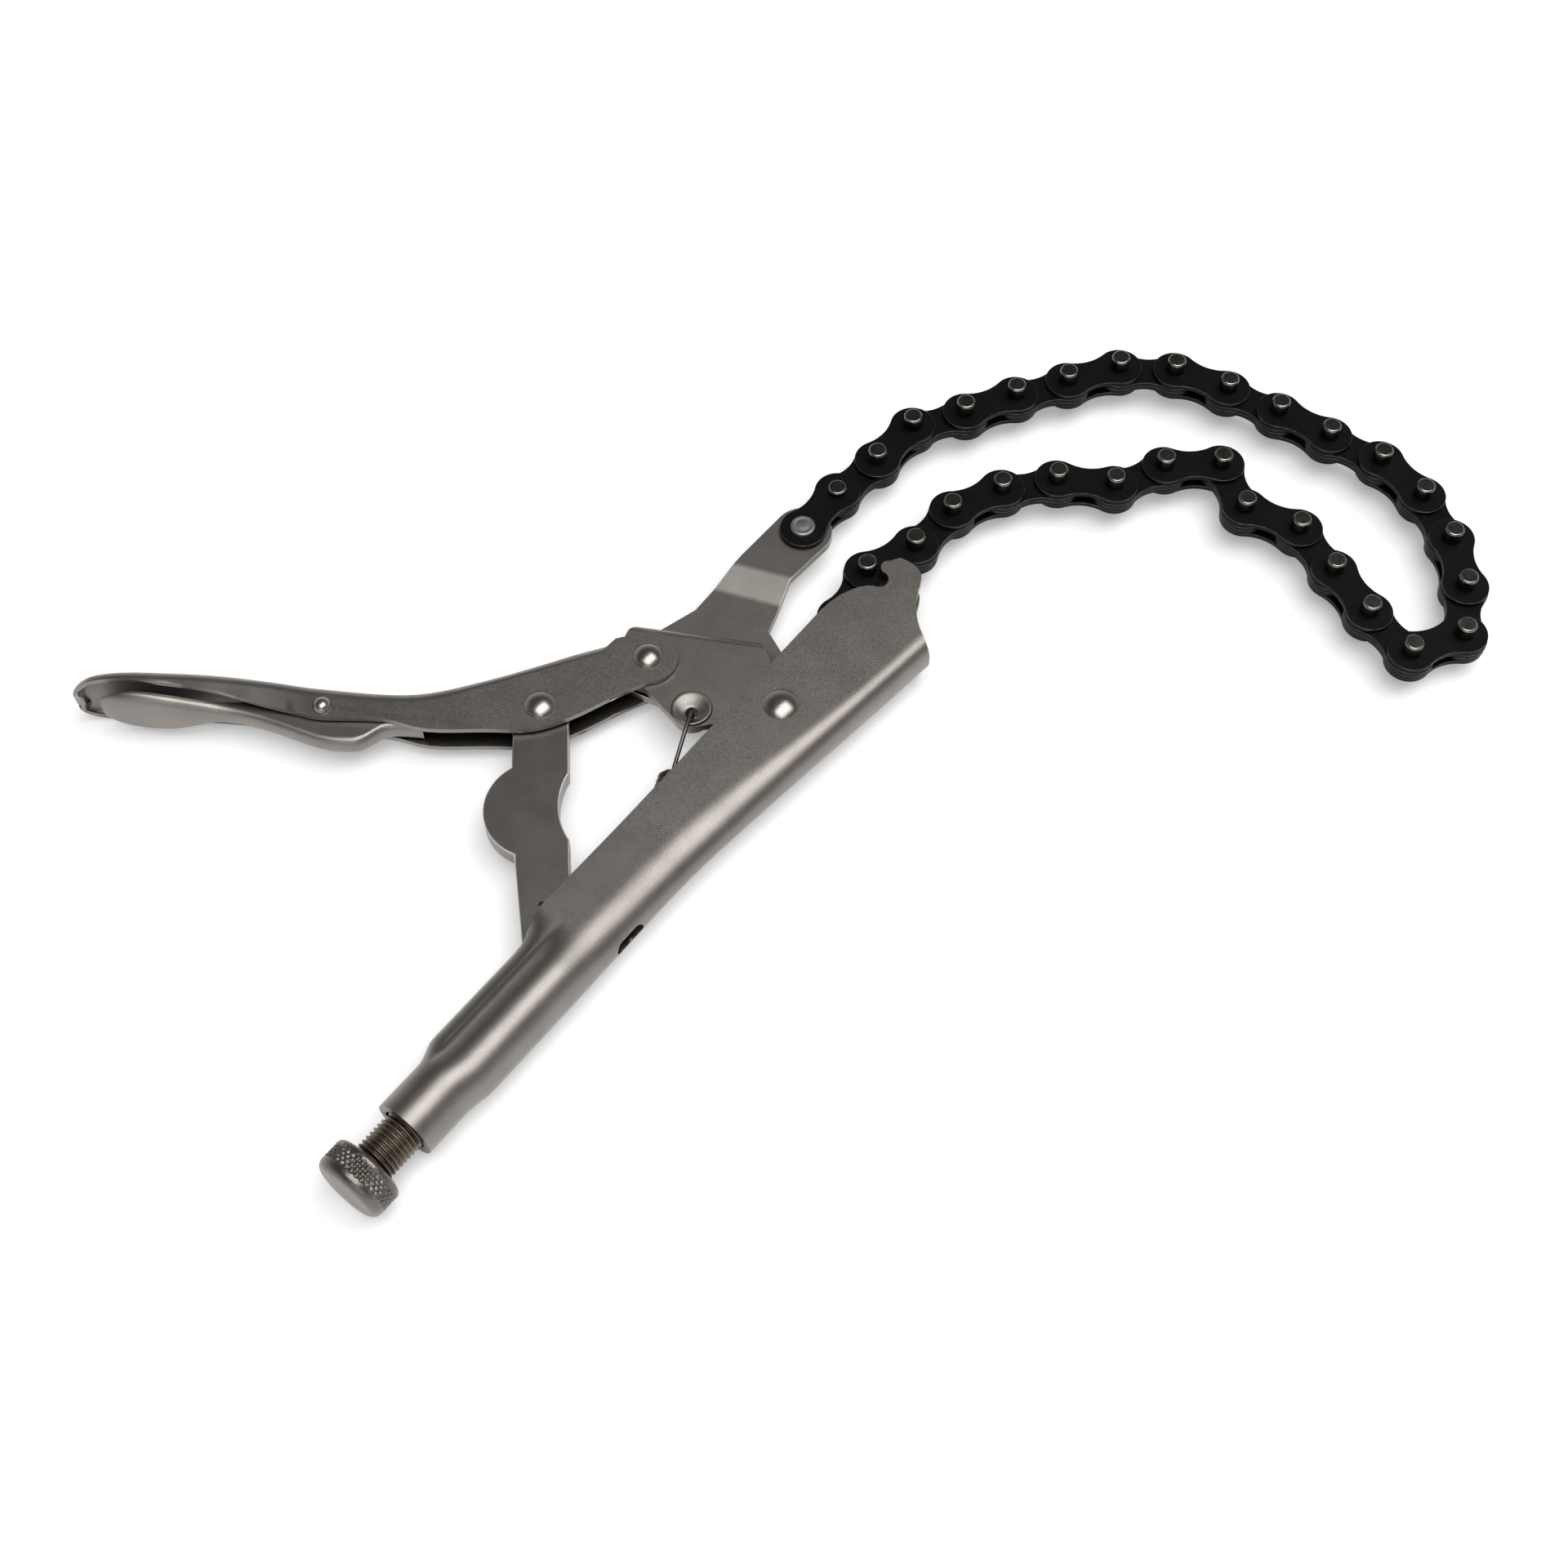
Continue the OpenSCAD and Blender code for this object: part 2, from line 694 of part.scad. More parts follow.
module lever_cheek() {
    translate(lever_pivot) circle(r = lever_front_r);
    polygon([
        [front.x - 2, front[2] - 1.1],
        [front.x - 2, front[1] - lever_arch + 0.6],
        [front.x + 1, front[1]],
        lever_pivot + [0, lever_front_r],
        lever_pivot + lever_front_r * heading(-45),
        lever_pivot + [-3.2, -9.7]
    ]);
}
module lever() {
    color(nickel)
        difference() {
            union() {
                u_loft(lever_stations, lever_sheet, 1);
                both_sides(lever_in, lever_out) lever_cheek();
            }
            bore(lever_pivot, lever_rivet_d / 2 + held_fit);
            bore(toggle_pivot, toggle_rivet_d / 2 + held_fit);
            bore(release_pivot, release_rivet_d / 2 + held_fit);
        }
}
release_half = release_w / 2;
spoon_half = spoon_w / 2;
// Stations of the release lever, measured from its rivet in the same way
release_stations = [
    for (s = [
        [26.1, -6.1, -4.1, release_half, 1.7],
        [17.1, -5.7, -2.3, release_half, 2],
        [11.3, -9.3, 1, release_half, 2],
        [7.2, -10.3, 3, release_half, 2],
        [-0.7, -9.3, 3.5, release_half, 2],
        [-15.9, -3.5, 2.6, release_half, 2],
        [-26.5, -1.1, 2.2, release_half + 0.3, 2.2],
        [-34, -1.2, 2, release_half + 2.2, 2.4],
        [-41, -1.4, 2.2, spoon_half - 0.6, 2.8],
        [-49, -0.7, 2.8, spoon_half, 3],
        [-55, 0.7, 2.7, spoon_half - 1.4, 1.9],
        [-58, 1.6, 3, spoon_half - 3.6, 1.3]
    ])
        s + [release_pivot.x, release_pivot.y, release_pivot.y, 0, 0]
];
module release_lever() {
    color(nickel)
        difference() {
            u_loft(release_stations, release_sheet, -1);
            bore(release_pivot, release_rivet_d / 2 + running_fit);
        }
}

// Toggle link
toggle_neck = toggle_pivot + [0.7, -16];
toggle_shank = toggle_pivot + [2.8, -45.4];
toggle_bulge = toggle_pivot + [toggle_lobe_r - toggle_lobe, -29.7];
toggle_scoop = toggle_pivot + [toggle_hollow + toggle_hollow_r, -28];
module toggle_outline() {
    difference() {
        union() {
            limb([
                disc(toggle_pivot, toggle_head_r),
                disc(toggle_neck, toggle_head_r + 0.1),
                disc(toggle_shank, toggle_end_r + 0.8),
                disc(toggle_foot, toggle_end_r)
            ]);
            intersection() {
                translate(toggle_bulge) circle(r = toggle_lobe_r);
                translate([toggle_pivot.x - far, toggle_pivot.y - far]) square([far, 2 * far]);
            }
        }
        translate(toggle_scoop) circle(r = toggle_hollow_r);
    }
}
module toggle_link() {
    color(nickel)
        difference() {
            slab(-toggle_t / 2, toggle_t / 2) toggle_outline();
            bore(toggle_pivot, toggle_rivet_d / 2 + running_fit);
        }
}

// Rivets
module jaw_rivet() { color(nickel) rivet(jaw_pivot, jaw_rivet_d, jaw_head_d, cheek_out); }
module lever_rivet() { color(nickel) rivet(lever_pivot, lever_rivet_d, lever_head_d, lever_out); }
module toggle_rivet() { color(nickel) rivet(toggle_pivot, toggle_rivet_d, toggle_head_d, lever_out); }
module release_rivet() { color(nickel) rivet(release_pivot, release_rivet_d, release_head_d, lever_out); }
module chain_rivet() { color(gunmetal) rivet(chain_start, chain_pin_d, chain_head_d, chain_half); }

// Chain
// Flat outline of a plate between two pins, drawn in at the waist by an arc on each side
module plate_outline(k, end_r, hole_r) {
    a = chain_pin(k);
    mid = chain_pitch / 2;
    waist = plate_waist / 2;
    cut_r = (mid * mid + waist * waist - end_r * end_r) / (2 * (end_r - waist));
    touch = end_r / (end_r + cut_r);
    translate(a)
        rotate(chain_headings[k])
            difference() {
                union() {
                    for (x = [0, chain_pitch]) {
                        translate([x, 0]) circle(r = end_r);
                    }
                    translate([touch * mid, -touch * (waist + cut_r)])
                        square([chain_pitch - 2 * touch * mid, 2 * touch * (waist + cut_r)]);
                }
                for (s = [-1, 1]) {
                    translate([mid, s * (waist + cut_r)]) circle(r = cut_r, $fn = 180);
                }
                for (x = [0, chain_pitch]) {
                    translate([x, 0]) circle(r = hole_r);
                }
            }
}
module outer_plates(k) {
    color(chain_black)
        both_sides(outer_z, chain_half) plate_outline(k, outer_plate_d / 2, chain_pin_r + held_fit);
}
module inner_plates(k) {
    color(chain_black)
        both_sides(inner_z, inner_z + chain_plate_t)
            plate_outline(k, inner_plate_d / 2, chain_pin_r + running_fit);
}
// Plain pin with chamfered ends
module pin(p, len) {
    edge = 0.35;
    translate([p.x, p.y, -len / 2])
        rotate_extrude()
            polygon([
                [0, 0],
                [chain_pin_r - edge, 0],
                [chain_pin_r, edge],
                [chain_pin_r, len - edge],
                [chain_pin_r - edge, len],
                [0, len]
            ]);
}
// The first outer link turns on the chain rivet and carries the short pin
module link_pins(k) {
    color(gunmetal) {
        pin(chain_pin(k + 1), k == 0 ? short_pin_len : chain_pin_len);
        if (k > 0) {
            pin(chain_pin(k), chain_pin_len);
        }
    }
}

// Spring
wire_r = wire_d / 2;
coil_r = coil_d / 2 - wire_r;
rings_per_turn = 8;
wire_sides = 6;
coil_top = concat(eye + [-4.7, -17.3], [0]);
coil_foot = concat(from_handle(spring_foot + [3.4, 5.4]), [0]);
coil_dir = unit(coil_foot - coil_top);
coil_flat = unit(cross([0, 0, 1], coil_dir));
lead_turns = 0.75;
// Point on the coil, whose first and last part of a turn spiral out from its axis and back to it
function coil_point(turn) =
    let (
        ease = min(turn / lead_turns, (coil_turns - turn) / lead_turns, 1),
        r = coil_r * ease,
        a = 360 * turn
    )
    coil_top + (coil_foot - coil_top) * turn / coil_turns + r * (cos(a) * coil_flat + [0, 0, r > 0 ? sin(a) : 0]);
// Polyline with each inner corner rounded by an arc-like curve of three points
function round_corners(p, r) =
    let (last = len(p) - 1)
    [
        p[0],
        for (i = [1:last - 1])
            let (back = r * unit(p[i - 1] - p[i]), ahead = r * unit(p[i + 1] - p[i]))
            each [for (t = [0:0.25:1]) p[i] + back * (1 - t) * (1 - t) + ahead * t * t],
        p[last]
    ];
bend_r = 1.6;
hook_wire = round_corners([
    concat(eye_hole, [-0.4]),
    concat(eye_hole, [jaw_half + 2.2 * wire_r]),
    concat(eye_hole + [-1.6, -6.2], [jaw_half + 2.2 * wire_r]),
    coil_top - 1.2 * coil_dir
], bend_r);
foot_wire = round_corners([
    coil_foot + 0.8 * coil_dir,
    concat(from_handle(spring_foot + [0, 3.4]), [0]),
    concat(from_handle(spring_foot), [0])
], bend_r);
wire_path = concat(
    hook_wire,
    [for (i = [0:coil_turns * rings_per_turn]) coil_point(i / rings_per_turn)],
    foot_wire
);
// Least gap of the wire to itself, taken between points over half a turn apart
function wire_gap(p) = min([
    for (i = [0:len(p) - 1]) for (j = [i + rings_per_turn - 1:1:len(p) - 1]) norm(p[i] - p[j]) - wire_d
]);
// Directions along the wire, and a side direction carried along it without twist
function path_dirs(p) =
    let (last = len(p) - 1)
    [for (i = [0:last]) unit(p[min(i + 1, last)] - p[max(i - 1, 0)])];
function square_to(v, d) = unit(v - d * (v * d));
function carried(dirs) = [
    for (i = 0, v = square_to([1, 0.2, 0.1], dirs[0]); i < len(dirs);
        i = i + 1, v = i < len(dirs) ? square_to(v, dirs[i]) : v)
        v
];
module wire(p) {
    dirs = path_dirs(p);
    sides = carried(dirs);
    n = len(p);
    points = [
        for (i = [0:n - 1]) for (j = [0:wire_sides - 1])
            let (a = 360 * j / wire_sides)
            p[i] + wire_r * (cos(a) * sides[i] + sin(a) * cross(dirs[i], sides[i]))
    ];
    walls = [
        for (i = [0:n - 2]) for (j = [0:wire_sides - 1])
            let (a = i * wire_sides + j, b = i * wire_sides + (j + 1) % wire_sides)
            each [[a, b + wire_sides, b], [a, a + wire_sides, b + wire_sides]]
    ];
    first = [for (j = [1:wire_sides - 2]) [0, j, j + 1]];
    end = (n - 1) * wire_sides;
    close = [for (j = [1:wire_sides - 2]) [end, end + j + 1, end + j]];
    polyhedron(points = points, faces = concat(walls, first, close));
}
module spring() {
    echo(spring_least_gap = wire_gap(wire_path));
    color(dark_steel) wire(wire_path);
}

placed() fixed_handle();
placed() adjusting_screw();
placed() screw_knob();
placed() jaw_arm();
placed() jaw_cover();
placed() lever();
placed() release_lever();
placed() toggle_link();
placed() spring();
placed() jaw_rivet();
placed() lever_rivet();
placed() toggle_rivet();
placed() release_rivet();
placed() chain_rivet();
for (k = [0:2:links - 1]) {
    placed() outer_plates(k);
    placed() link_pins(k);
}
for (k = [1:2:links - 1]) {
    placed() inner_plates(k);
}
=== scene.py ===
"""Looks of a locking chain clamp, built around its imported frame."""
import json
import logging
import math
from dataclasses import dataclass
from enum import Enum
from typing import Callable, Iterable, Sequence

import bmesh
import bpy
from mathutils import Matrix, Vector

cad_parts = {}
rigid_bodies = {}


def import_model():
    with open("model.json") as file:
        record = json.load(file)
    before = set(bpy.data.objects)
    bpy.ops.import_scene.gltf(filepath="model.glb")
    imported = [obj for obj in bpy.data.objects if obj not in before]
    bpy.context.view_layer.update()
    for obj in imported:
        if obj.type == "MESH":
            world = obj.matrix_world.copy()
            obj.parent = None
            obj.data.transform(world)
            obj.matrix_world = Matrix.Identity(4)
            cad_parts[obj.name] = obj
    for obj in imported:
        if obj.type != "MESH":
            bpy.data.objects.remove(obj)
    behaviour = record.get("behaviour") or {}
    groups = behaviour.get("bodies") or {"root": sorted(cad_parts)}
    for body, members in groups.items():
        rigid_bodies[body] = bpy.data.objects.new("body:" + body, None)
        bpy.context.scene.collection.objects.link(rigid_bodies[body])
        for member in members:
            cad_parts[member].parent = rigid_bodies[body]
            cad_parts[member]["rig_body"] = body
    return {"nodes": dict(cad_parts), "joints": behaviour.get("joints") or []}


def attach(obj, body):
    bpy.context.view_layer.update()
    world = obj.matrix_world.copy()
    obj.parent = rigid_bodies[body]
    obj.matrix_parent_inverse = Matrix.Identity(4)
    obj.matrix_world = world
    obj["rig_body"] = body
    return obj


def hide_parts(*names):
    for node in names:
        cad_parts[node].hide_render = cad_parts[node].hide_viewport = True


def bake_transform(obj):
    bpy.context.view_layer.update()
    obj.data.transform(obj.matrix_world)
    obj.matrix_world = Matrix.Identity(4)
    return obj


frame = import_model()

log = logging.getLogger("chain_clamp")
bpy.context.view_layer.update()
MM = 0.001
WELD_M = 2e-6
FLAT_DEG = 0.6
CUT_EDGE_DEG = 48.0
BROAD_FACE_WEIGHT = 80
Colour = tuple[float, float, float]
Plan = tuple[float, float]
Corner = tuple[float, float, float]
Profile = tuple[tuple[float, float], ...]
Ring = list[bmesh.types.BMVert]


def banded(
    tree: bpy.types.NodeTree,
    value: bpy.types.NodeSocket,
    band: tuple[float, float],
    onto: tuple[float, float] = (0.0, 1.0),
    way: str = "LINEAR",
) -> bpy.types.NodeSocket:
    """Adds a node that maps a value from one band onto another.

    Args:
        tree: The nodes of a material or of the world.
        value: The value to map.
        band: The values that come out as the ends of the other band.
        onto: The other band.
        way: How the values between the ends are spread.

    Returns:
        The mapped value.
    """
    node = tree.nodes.new("ShaderNodeMapRange")
    node.interpolation_type = way
    for name, end in zip(("From Min", "From Max", "To Min", "To Max"), (*band, *onto)):
        node.inputs[name].default_value = end
    tree.links.new(value, node.inputs["Value"])
    return node.outputs["Result"]


def worked_out(
    tree: bpy.types.NodeTree,
    operation: str,
    first: bpy.types.NodeSocket,
    second: bpy.types.NodeSocket | float,
) -> bpy.types.NodeSocket:
    """Adds a node that works out one value from two.

    Args:
        tree: The nodes of a material.
        operation: The sum to do.
        first: The first value.
        second: The second value, or a fixed number.

    Returns:
        The result.
    """
    node = tree.nodes.new("ShaderNodeMath")
    node.operation = operation
    tree.links.new(first, node.inputs[0])
    if isinstance(second, float):
        node.inputs[1].default_value = second
    else:
        tree.links.new(second, node.inputs[1])
    return node.outputs["Value"]


class Edge(Enum):
    """How broadly the edges of a stamping are broken, in millimetres."""

    CRISP = 0.12
    TUMBLED = 0.3
    ROLLED = 0.5


@dataclass(frozen=True)
class MetalFinish:
    """A metal surface: its colour, how it mottles, and the grain that scatters its shine."""

    name: str
    slot: str
    colour: Colour
    dark: Colour
    metallic: float = 1.0
    roughness: float = 0.34
    spread: float = 0.08
    grain_mm: float = 0.35
    grain_depth_mm: float = 0.012
    mottle_mm: float = 9.0
    specular: float = 0.5
    # Reach of the painted shade: the colour darkens where other metal lies within it.
    shade_reach_mm: float = 6.0
    spot: tuple[float, float, float] | None = None
    spot_mm: float = 1.2
    spot_colour: Colour = (0.07, 0.035, 0.02)
    spot_swell: float = 2.2
    spot_grain_mm: float = 0.8
    mottle_band: tuple[float, float] = (0.3, 0.7)
    grain_band: tuple[float, float] = (0.25, 0.75)
    # How nearness maps onto the painted shade, and the least share of the colour that it keeps.
    shade_band: tuple[float, float] = (0.2, 0.62)
    shade_least: float = 0.08

    def material(self) -> bpy.types.Material:
        """Gives the finish as a material, made on first use.

        Returns:
            The material with its noise, roughness and bump nodes.
        """
        known = bpy.data.materials.get(self.name)
        if known:
            return known
        made = bpy.data.materials.new(self.name)
        made.use_nodes = True
        tree = made.node_tree
        nodes, links = tree.nodes, tree.links
        shader = nodes["Principled BSDF"]
        shader.inputs["Metallic"].default_value = self.metallic
        shader.inputs["Specular IOR Level"].default_value = self.specular
        place = nodes.new("ShaderNodeTexCoord").outputs["Object"]
        mottle = self._noise(tree, place, self.mottle_mm, 4.0)
        grain = self._noise(tree, place, self.grain_mm, 2.0)
        mix = nodes.new("ShaderNodeMix")
        mix.data_type = "RGBA"
        mix.inputs["A"].default_value = (*self.dark, 1)
        mix.inputs["B"].default_value = (*self.colour, 1)
        links.new(banded(tree, mottle, self.mottle_band), mix.inputs["Factor"])
        colour = mix.outputs["Result"]
        if self.spot:
            colour = self._spotted(tree, place, colour)
        # Shade is painted into the base colour where other metal is near, by ambient occlusion.
        links.new(self._painted_shade(tree, colour), shader.inputs["Base Color"])
        around = (self.roughness - self.spread, self.roughness + self.spread)
        links.new(banded(tree, grain, self.grain_band, around), shader.inputs["Roughness"])
        bump = nodes.new("ShaderNodeBump")
        bump.inputs["Distance"].default_value = self.grain_depth_mm * MM
        links.new(grain, bump.inputs["Height"])
        links.new(bump.outputs["Normal"], shader.inputs["Normal"])
        return made

    @staticmethod
    def _noise(
        tree: bpy.types.NodeTree,
        place: bpy.types.NodeSocket,
        cell_mm: float,
        detail: float,
    ) -> bpy.types.NodeSocket:
        """Adds a noise texture.

        Args:
            tree: The material's nodes.
            place: The place on the piece.
            cell_mm: The size of a cell of the noise.
            detail: Octaves of the noise.

        Returns:
            The noise's value.
        """
        noise = tree.nodes.new("ShaderNodeTexNoise")
        noise.inputs["Scale"].default_value = 1 / (cell_mm * MM)
        noise.inputs["Detail"].default_value = detail
        tree.links.new(place, noise.inputs["Vector"])
        return noise.outputs["Fac"]

    def _painted_shade(self, tree: bpy.types.NodeTree, colour: bpy.types.NodeSocket) -> bpy.types.NodeSocket:
        """Paints shade into a colour, by ambient occlusion, where the metal lies close to other metal.

        Args:
            tree: The material's nodes.
            colour: The colour without the painted shade.

        Returns:
            The colour with the painted shade.
        """
        near = tree.nodes.new("ShaderNodeAmbientOcclusion")
        near.samples = 8
        near.inputs["Distance"].default_value = self.shade_reach_mm * MM
        share = banded(tree, near.outputs["AO"], self.shade_band, (self.shade_least, 1.0))
        scale = tree.nodes.new("ShaderNodeVectorMath")
        scale.operation = "SCALE"
        tree.links.new(colour, scale.inputs[0])
        tree.links.new(share, scale.inputs["Scale"])
        return scale.outputs["Vector"]

    def _spotted(
        self,
        tree: bpy.types.NodeTree,
        place: bpy.types.NodeSocket,
        colour: bpy.types.NodeSocket,
    ) -> bpy.types.NodeSocket:
        """Lays a small ragged rust spot over a colour.

        Args:
            tree: The material's nodes.
            place: The place on the piece.
            colour: The colour under the spot.

        Returns:
            The spotted colour.
        """
        reach = tree.nodes.new("ShaderNodeVectorMath")
        reach.operation = "DISTANCE"
        reach.inputs[1].default_value = self.spot
        tree.links.new(place, reach.inputs[0])
        ragged = self._noise(tree, place, self.spot_grain_mm, 3.0)
        size = worked_out(tree, "MULTIPLY", ragged, self.spot_swell * self.spot_mm * MM)
        inside = worked_out(tree, "LESS_THAN", reach.outputs["Value"], size)
        mix = tree.nodes.new("ShaderNodeMix")
        mix.data_type = "RGBA"
        mix.inputs["B"].default_value = (*self.spot_colour, 1)
        tree.links.new(inside, mix.inputs["Factor"])
        tree.links.new(colour, mix.inputs["A"])
        return mix.outputs["Result"]


NICKEL = MetalFinish(
    "satin_nickel", "nickel_sheet", (0.27, 0.249, 0.229), (0.23, 0.212, 0.195),
    roughness=0.39, spread=0.1, grain_mm=0.28, grain_depth_mm=0.022, shade_reach_mm=14.0,
)
NICKEL_TOGGLE = MetalFinish(
    "darker_toggle_nickel", "nickel_sheet", (0.235, 0.217, 0.2), (0.185, 0.17, 0.156),
    roughness=0.36, spread=0.1, grain_mm=0.28, grain_depth_mm=0.022, shade_reach_mm=14.0,
    spot=(-0.062, -0.05, 0.0126), spot_mm=0.8,
)
# A much lighter copy of the nickel for the sheets' broken edges: a painted highlight standing in for the
# bright floor that they reflect.
NICKEL_EDGE_HIGHLIGHT = MetalFinish(
    "highlight_nickel_edge", "nickel_sheet", (0.82, 0.79, 0.75), (0.66, 0.63, 0.59), roughness=0.38, shade_reach_mm=1.0
)
NICKEL_RIVET = MetalFinish(
    "polished_rivet", "nickel_rivet", (0.33, 0.305, 0.282), (0.27, 0.25, 0.231), roughness=0.27, spread=0.05
)
NICKEL_KNOB = MetalFinish(
    "knob_nickel", "nickel_knob", (0.19, 0.172, 0.156), (0.135, 0.121, 0.11), roughness=0.33
)
SCREW_STEEL = MetalFinish(
    "dull_screw_steel", "screw_steel", (0.24, 0.2, 0.155), (0.14, 0.115, 0.09), roughness=0.42, mottle_mm=2.5
)
WIRE_STEEL = MetalFinish(
    "drawn_spring_wire", "spring_wire", (0.16, 0.145, 0.13), (0.1, 0.09, 0.08), roughness=0.34, mottle_mm=3.0
)
CHAIN_BLACK = MetalFinish(
    "black_oxide", "chain_black", (0.004, 0.0042, 0.0048), (0.002, 0.0021, 0.0025),
    metallic=0.0, roughness=0.46, spread=0.1, mottle_mm=5.0, specular=0.1,
)
# The plates' broken edges get a lighter, partly metallic colour than their black faces.
CHAIN_EDGE = MetalFinish(
    "light_plate_edge", "chain_black", (0.09, 0.088, 0.085), (0.02, 0.02, 0.02),
    metallic=0.7, roughness=0.32, mottle_mm=2.0,
)
PIN_GUNMETAL = MetalFinish(
    "gunmetal_pin", "pin_gunmetal", (0.075, 0.07, 0.064), (0.045, 0.042, 0.038), roughness=0.33, mottle_mm=3.0
)
PIN_RIM = MetalFinish(
    "bright_pin_rim", "pin_gunmetal", (0.45, 0.43, 0.4), (0.3, 0.285, 0.265), roughness=0.25, mottle_mm=2.0
)
CHAIN_RIVET_STEEL = MetalFinish(
    "bare_rivet_steel", "chain_rivet_steel", (0.33, 0.32, 0.31), (0.23, 0.22, 0.215),
    roughness=0.42, mottle_mm=2.0,
)


@dataclass(frozen=True)
class ToolPlan:
    """The tool's plan axes: places in millimetres from the jaw rivet, and along the handle."""

    handle_deg: float = 51.5

    @property
    def origin(self) -> Vector:
        """The jaw rivet's middle in the frame, in metres."""
        return Vector(next(j["pos_m"] for j in frame["joints"] if j["name"] == "jaw_pivot"))

    def at(self, x: float, y: float, z: float = 0.0) -> Vector:
        """The frame's point for a plan place and a height from the mid plane, in millimetres."""
        return self.origin + Vector((x, y, z)) * MM

    def handle_axes(self) -> Matrix:
        """The handle's axes at the jaw rivet, in millimetres: forward, across towards the lever, and up."""
        turn = Matrix.Rotation(math.radians(self.handle_deg), 4, "Z")
        return Matrix.Translation(self.origin) @ turn @ Matrix.Scale(MM, 4)

    def along(self, u: float, v: float, z: float = 0.0) -> Vector:
        """The frame's point for a place along and across the handle, in millimetres."""
        return self.handle_axes() @ Vector((u, v, z))


PLAN = ToolPlan()


def body_of(node: str) -> str:
    """The name of the body that a node belongs to."""
    return frame["nodes"][node]["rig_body"]


def dress(
    piece: bpy.types.Object,
    finishes: Sequence[MetalFinish],
    body: str | None,
    nodes: Iterable[str],
) -> bpy.types.Object:
    """Gives a piece its finishes, its body and the nodes that it stands for.

    Args:
        piece: The new piece, in its place in the frame.
        finishes: The finish of each material index of the mesh.
        body: The body that carries the piece, or None to leave it on no body.
        nodes: The frame's nodes that it replaces.

    Returns:
        The piece.
    """
    for finish in finishes:
        piece.data.materials.append(finish.material())
    names = list(nodes)
    if names:
        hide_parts(*names)
    if body:
        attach(piece, body)
    log.info("%s: %d faces", piece.name, len(piece.data.polygons))
    return piece


def as_piece(name: str, shape: bmesh.types.BMesh, smooth_deg: float = 40.0) -> bpy.types.Object:
    """Turns a built shape into an object with soft and hard edges told apart by their angle.

    Args:
        name: The piece's name.
        shape: The shape, in the frame's metres, which is freed.
        smooth_deg: The angle above which an edge is shown hard.

    Returns:
        The new object.
    """
    mesh = bpy.data.meshes.new(name)
    bmesh.ops.recalc_face_normals(shape, faces=shape.faces)
    shape.to_mesh(mesh)
    shape.free()
    mesh.polygons.foreach_set("use_smooth", [True] * len(mesh.polygons))
    mesh.set_sharp_from_angle(angle=math.radians(smooth_deg))
    piece = bpy.data.objects.new(name, mesh)
    bpy.context.scene.collection.objects.link(piece)
    return piece


def is_crease(edge: bmesh.types.BMEdge, from_deg: float = 7.0) -> bool:
    """Tells whether an edge is a bend across the top or bottom of a flat sheet."""
    flat = all(abs(f.normal.z) > 0.9 for f in edge.link_faces)
    return flat and edge.calc_face_angle() > math.radians(from_deg)


def softened(node: str, edge_mm: float, from_deg: float = 28.0, crease_mm: float = 1.7) -> bmesh.types.BMesh:
    """Builds a stamping's shape on a node's solid, with the press's edges broken by rounds.

    Args:
        node: The node whose solid is followed.
        edge_mm: The width of the broken edge.
        from_deg: The angle above which an edge is broken.
        crease_mm: The reach of the bend at each crease of the sheet.

    Returns:
        The shape, with material index 1 on the broken edges.
    """
    shape = bmesh.new()
    shape.from_mesh(frame["nodes"][node].data)
    bmesh.ops.remove_doubles(shape, verts=shape.verts, dist=WELD_M)
    bmesh.ops.dissolve_limit(
        shape, angle_limit=math.radians(FLAT_DEG), verts=shape.verts, edges=shape.edges
    )
    for face in shape.faces:
        face.material_index = 0
    limit = math.radians(from_deg)
    # The bends first, which keep the sheet's finish, and then the press's edges.
    for reach, steps, finish in ((crease_mm, 6, -1), (edge_mm, 3, 1)):
        shape.normal_update()
        whole = [e for e in shape.edges if len(e.link_faces) == 2]
        edges = [e for e in whole if (is_crease(e) if finish < 0 else e.calc_face_angle() > limit)]
        bmesh.ops.bevel(
            shape, geom=edges, offset=reach * MM, segments=steps, profile=0.5,
            affect="EDGES", clamp_overlap=True, material=finish,
        )
    return shape


def weighted(piece: bpy.types.Object) -> bpy.types.Object:
    """Lets the broad faces of a piece set its shading.

    Args:
        piece: The piece, with its sharp edges marked.

    Returns:
        The piece.
    """
    modifier = piece.modifiers.new("broad_faces", "WEIGHTED_NORMAL")
    modifier.keep_sharp = True
    modifier.weight = BROAD_FACE_WEIGHT
    return piece


def lathe(
    profile: Sequence[tuple[float, float]],
    steps: int,
    place: Matrix,
    radius_at: Callable[[float, float, float], float] | None = None,
) -> bmesh.types.BMesh:
    """Turns a profile about the Z axis of a place.

    Args:
        profile: Radius and height of each ring, in millimetres, from one end on the axis to the other.
        steps: Points round a ring.
        place: The matrix from millimetres to the frame.
        radius_at: A rule for the radius from the ring's radius, its height and the angle.

    Returns:
        The closed shape.
    """
    shape = bmesh.new()
    rings: list[Ring] = []
    for r, h in profile:
        if r < 1e-6:
            rings.append([shape.verts.new(place @ Vector((0, 0, h)))])
            continue
        ring = []
        for i in range(steps):
            a = math.tau * i / steps
            real = radius_at(r, h, a) if radius_at else r
            ring.append(shape.verts.new(place @ Vector((real * math.cos(a), real * math.sin(a), h))))
        rings.append(ring)
    for low, high in zip(rings, rings[1:]):
        for i in range(steps):
            j = (i + 1) % steps
            corners = [low[i % len(low)], low[j % len(low)], high[j % len(high)], high[i % len(high)]]
            face = list(dict.fromkeys(corners))
            if len(face) > 2:
                shape.faces.new(face)
    return shape


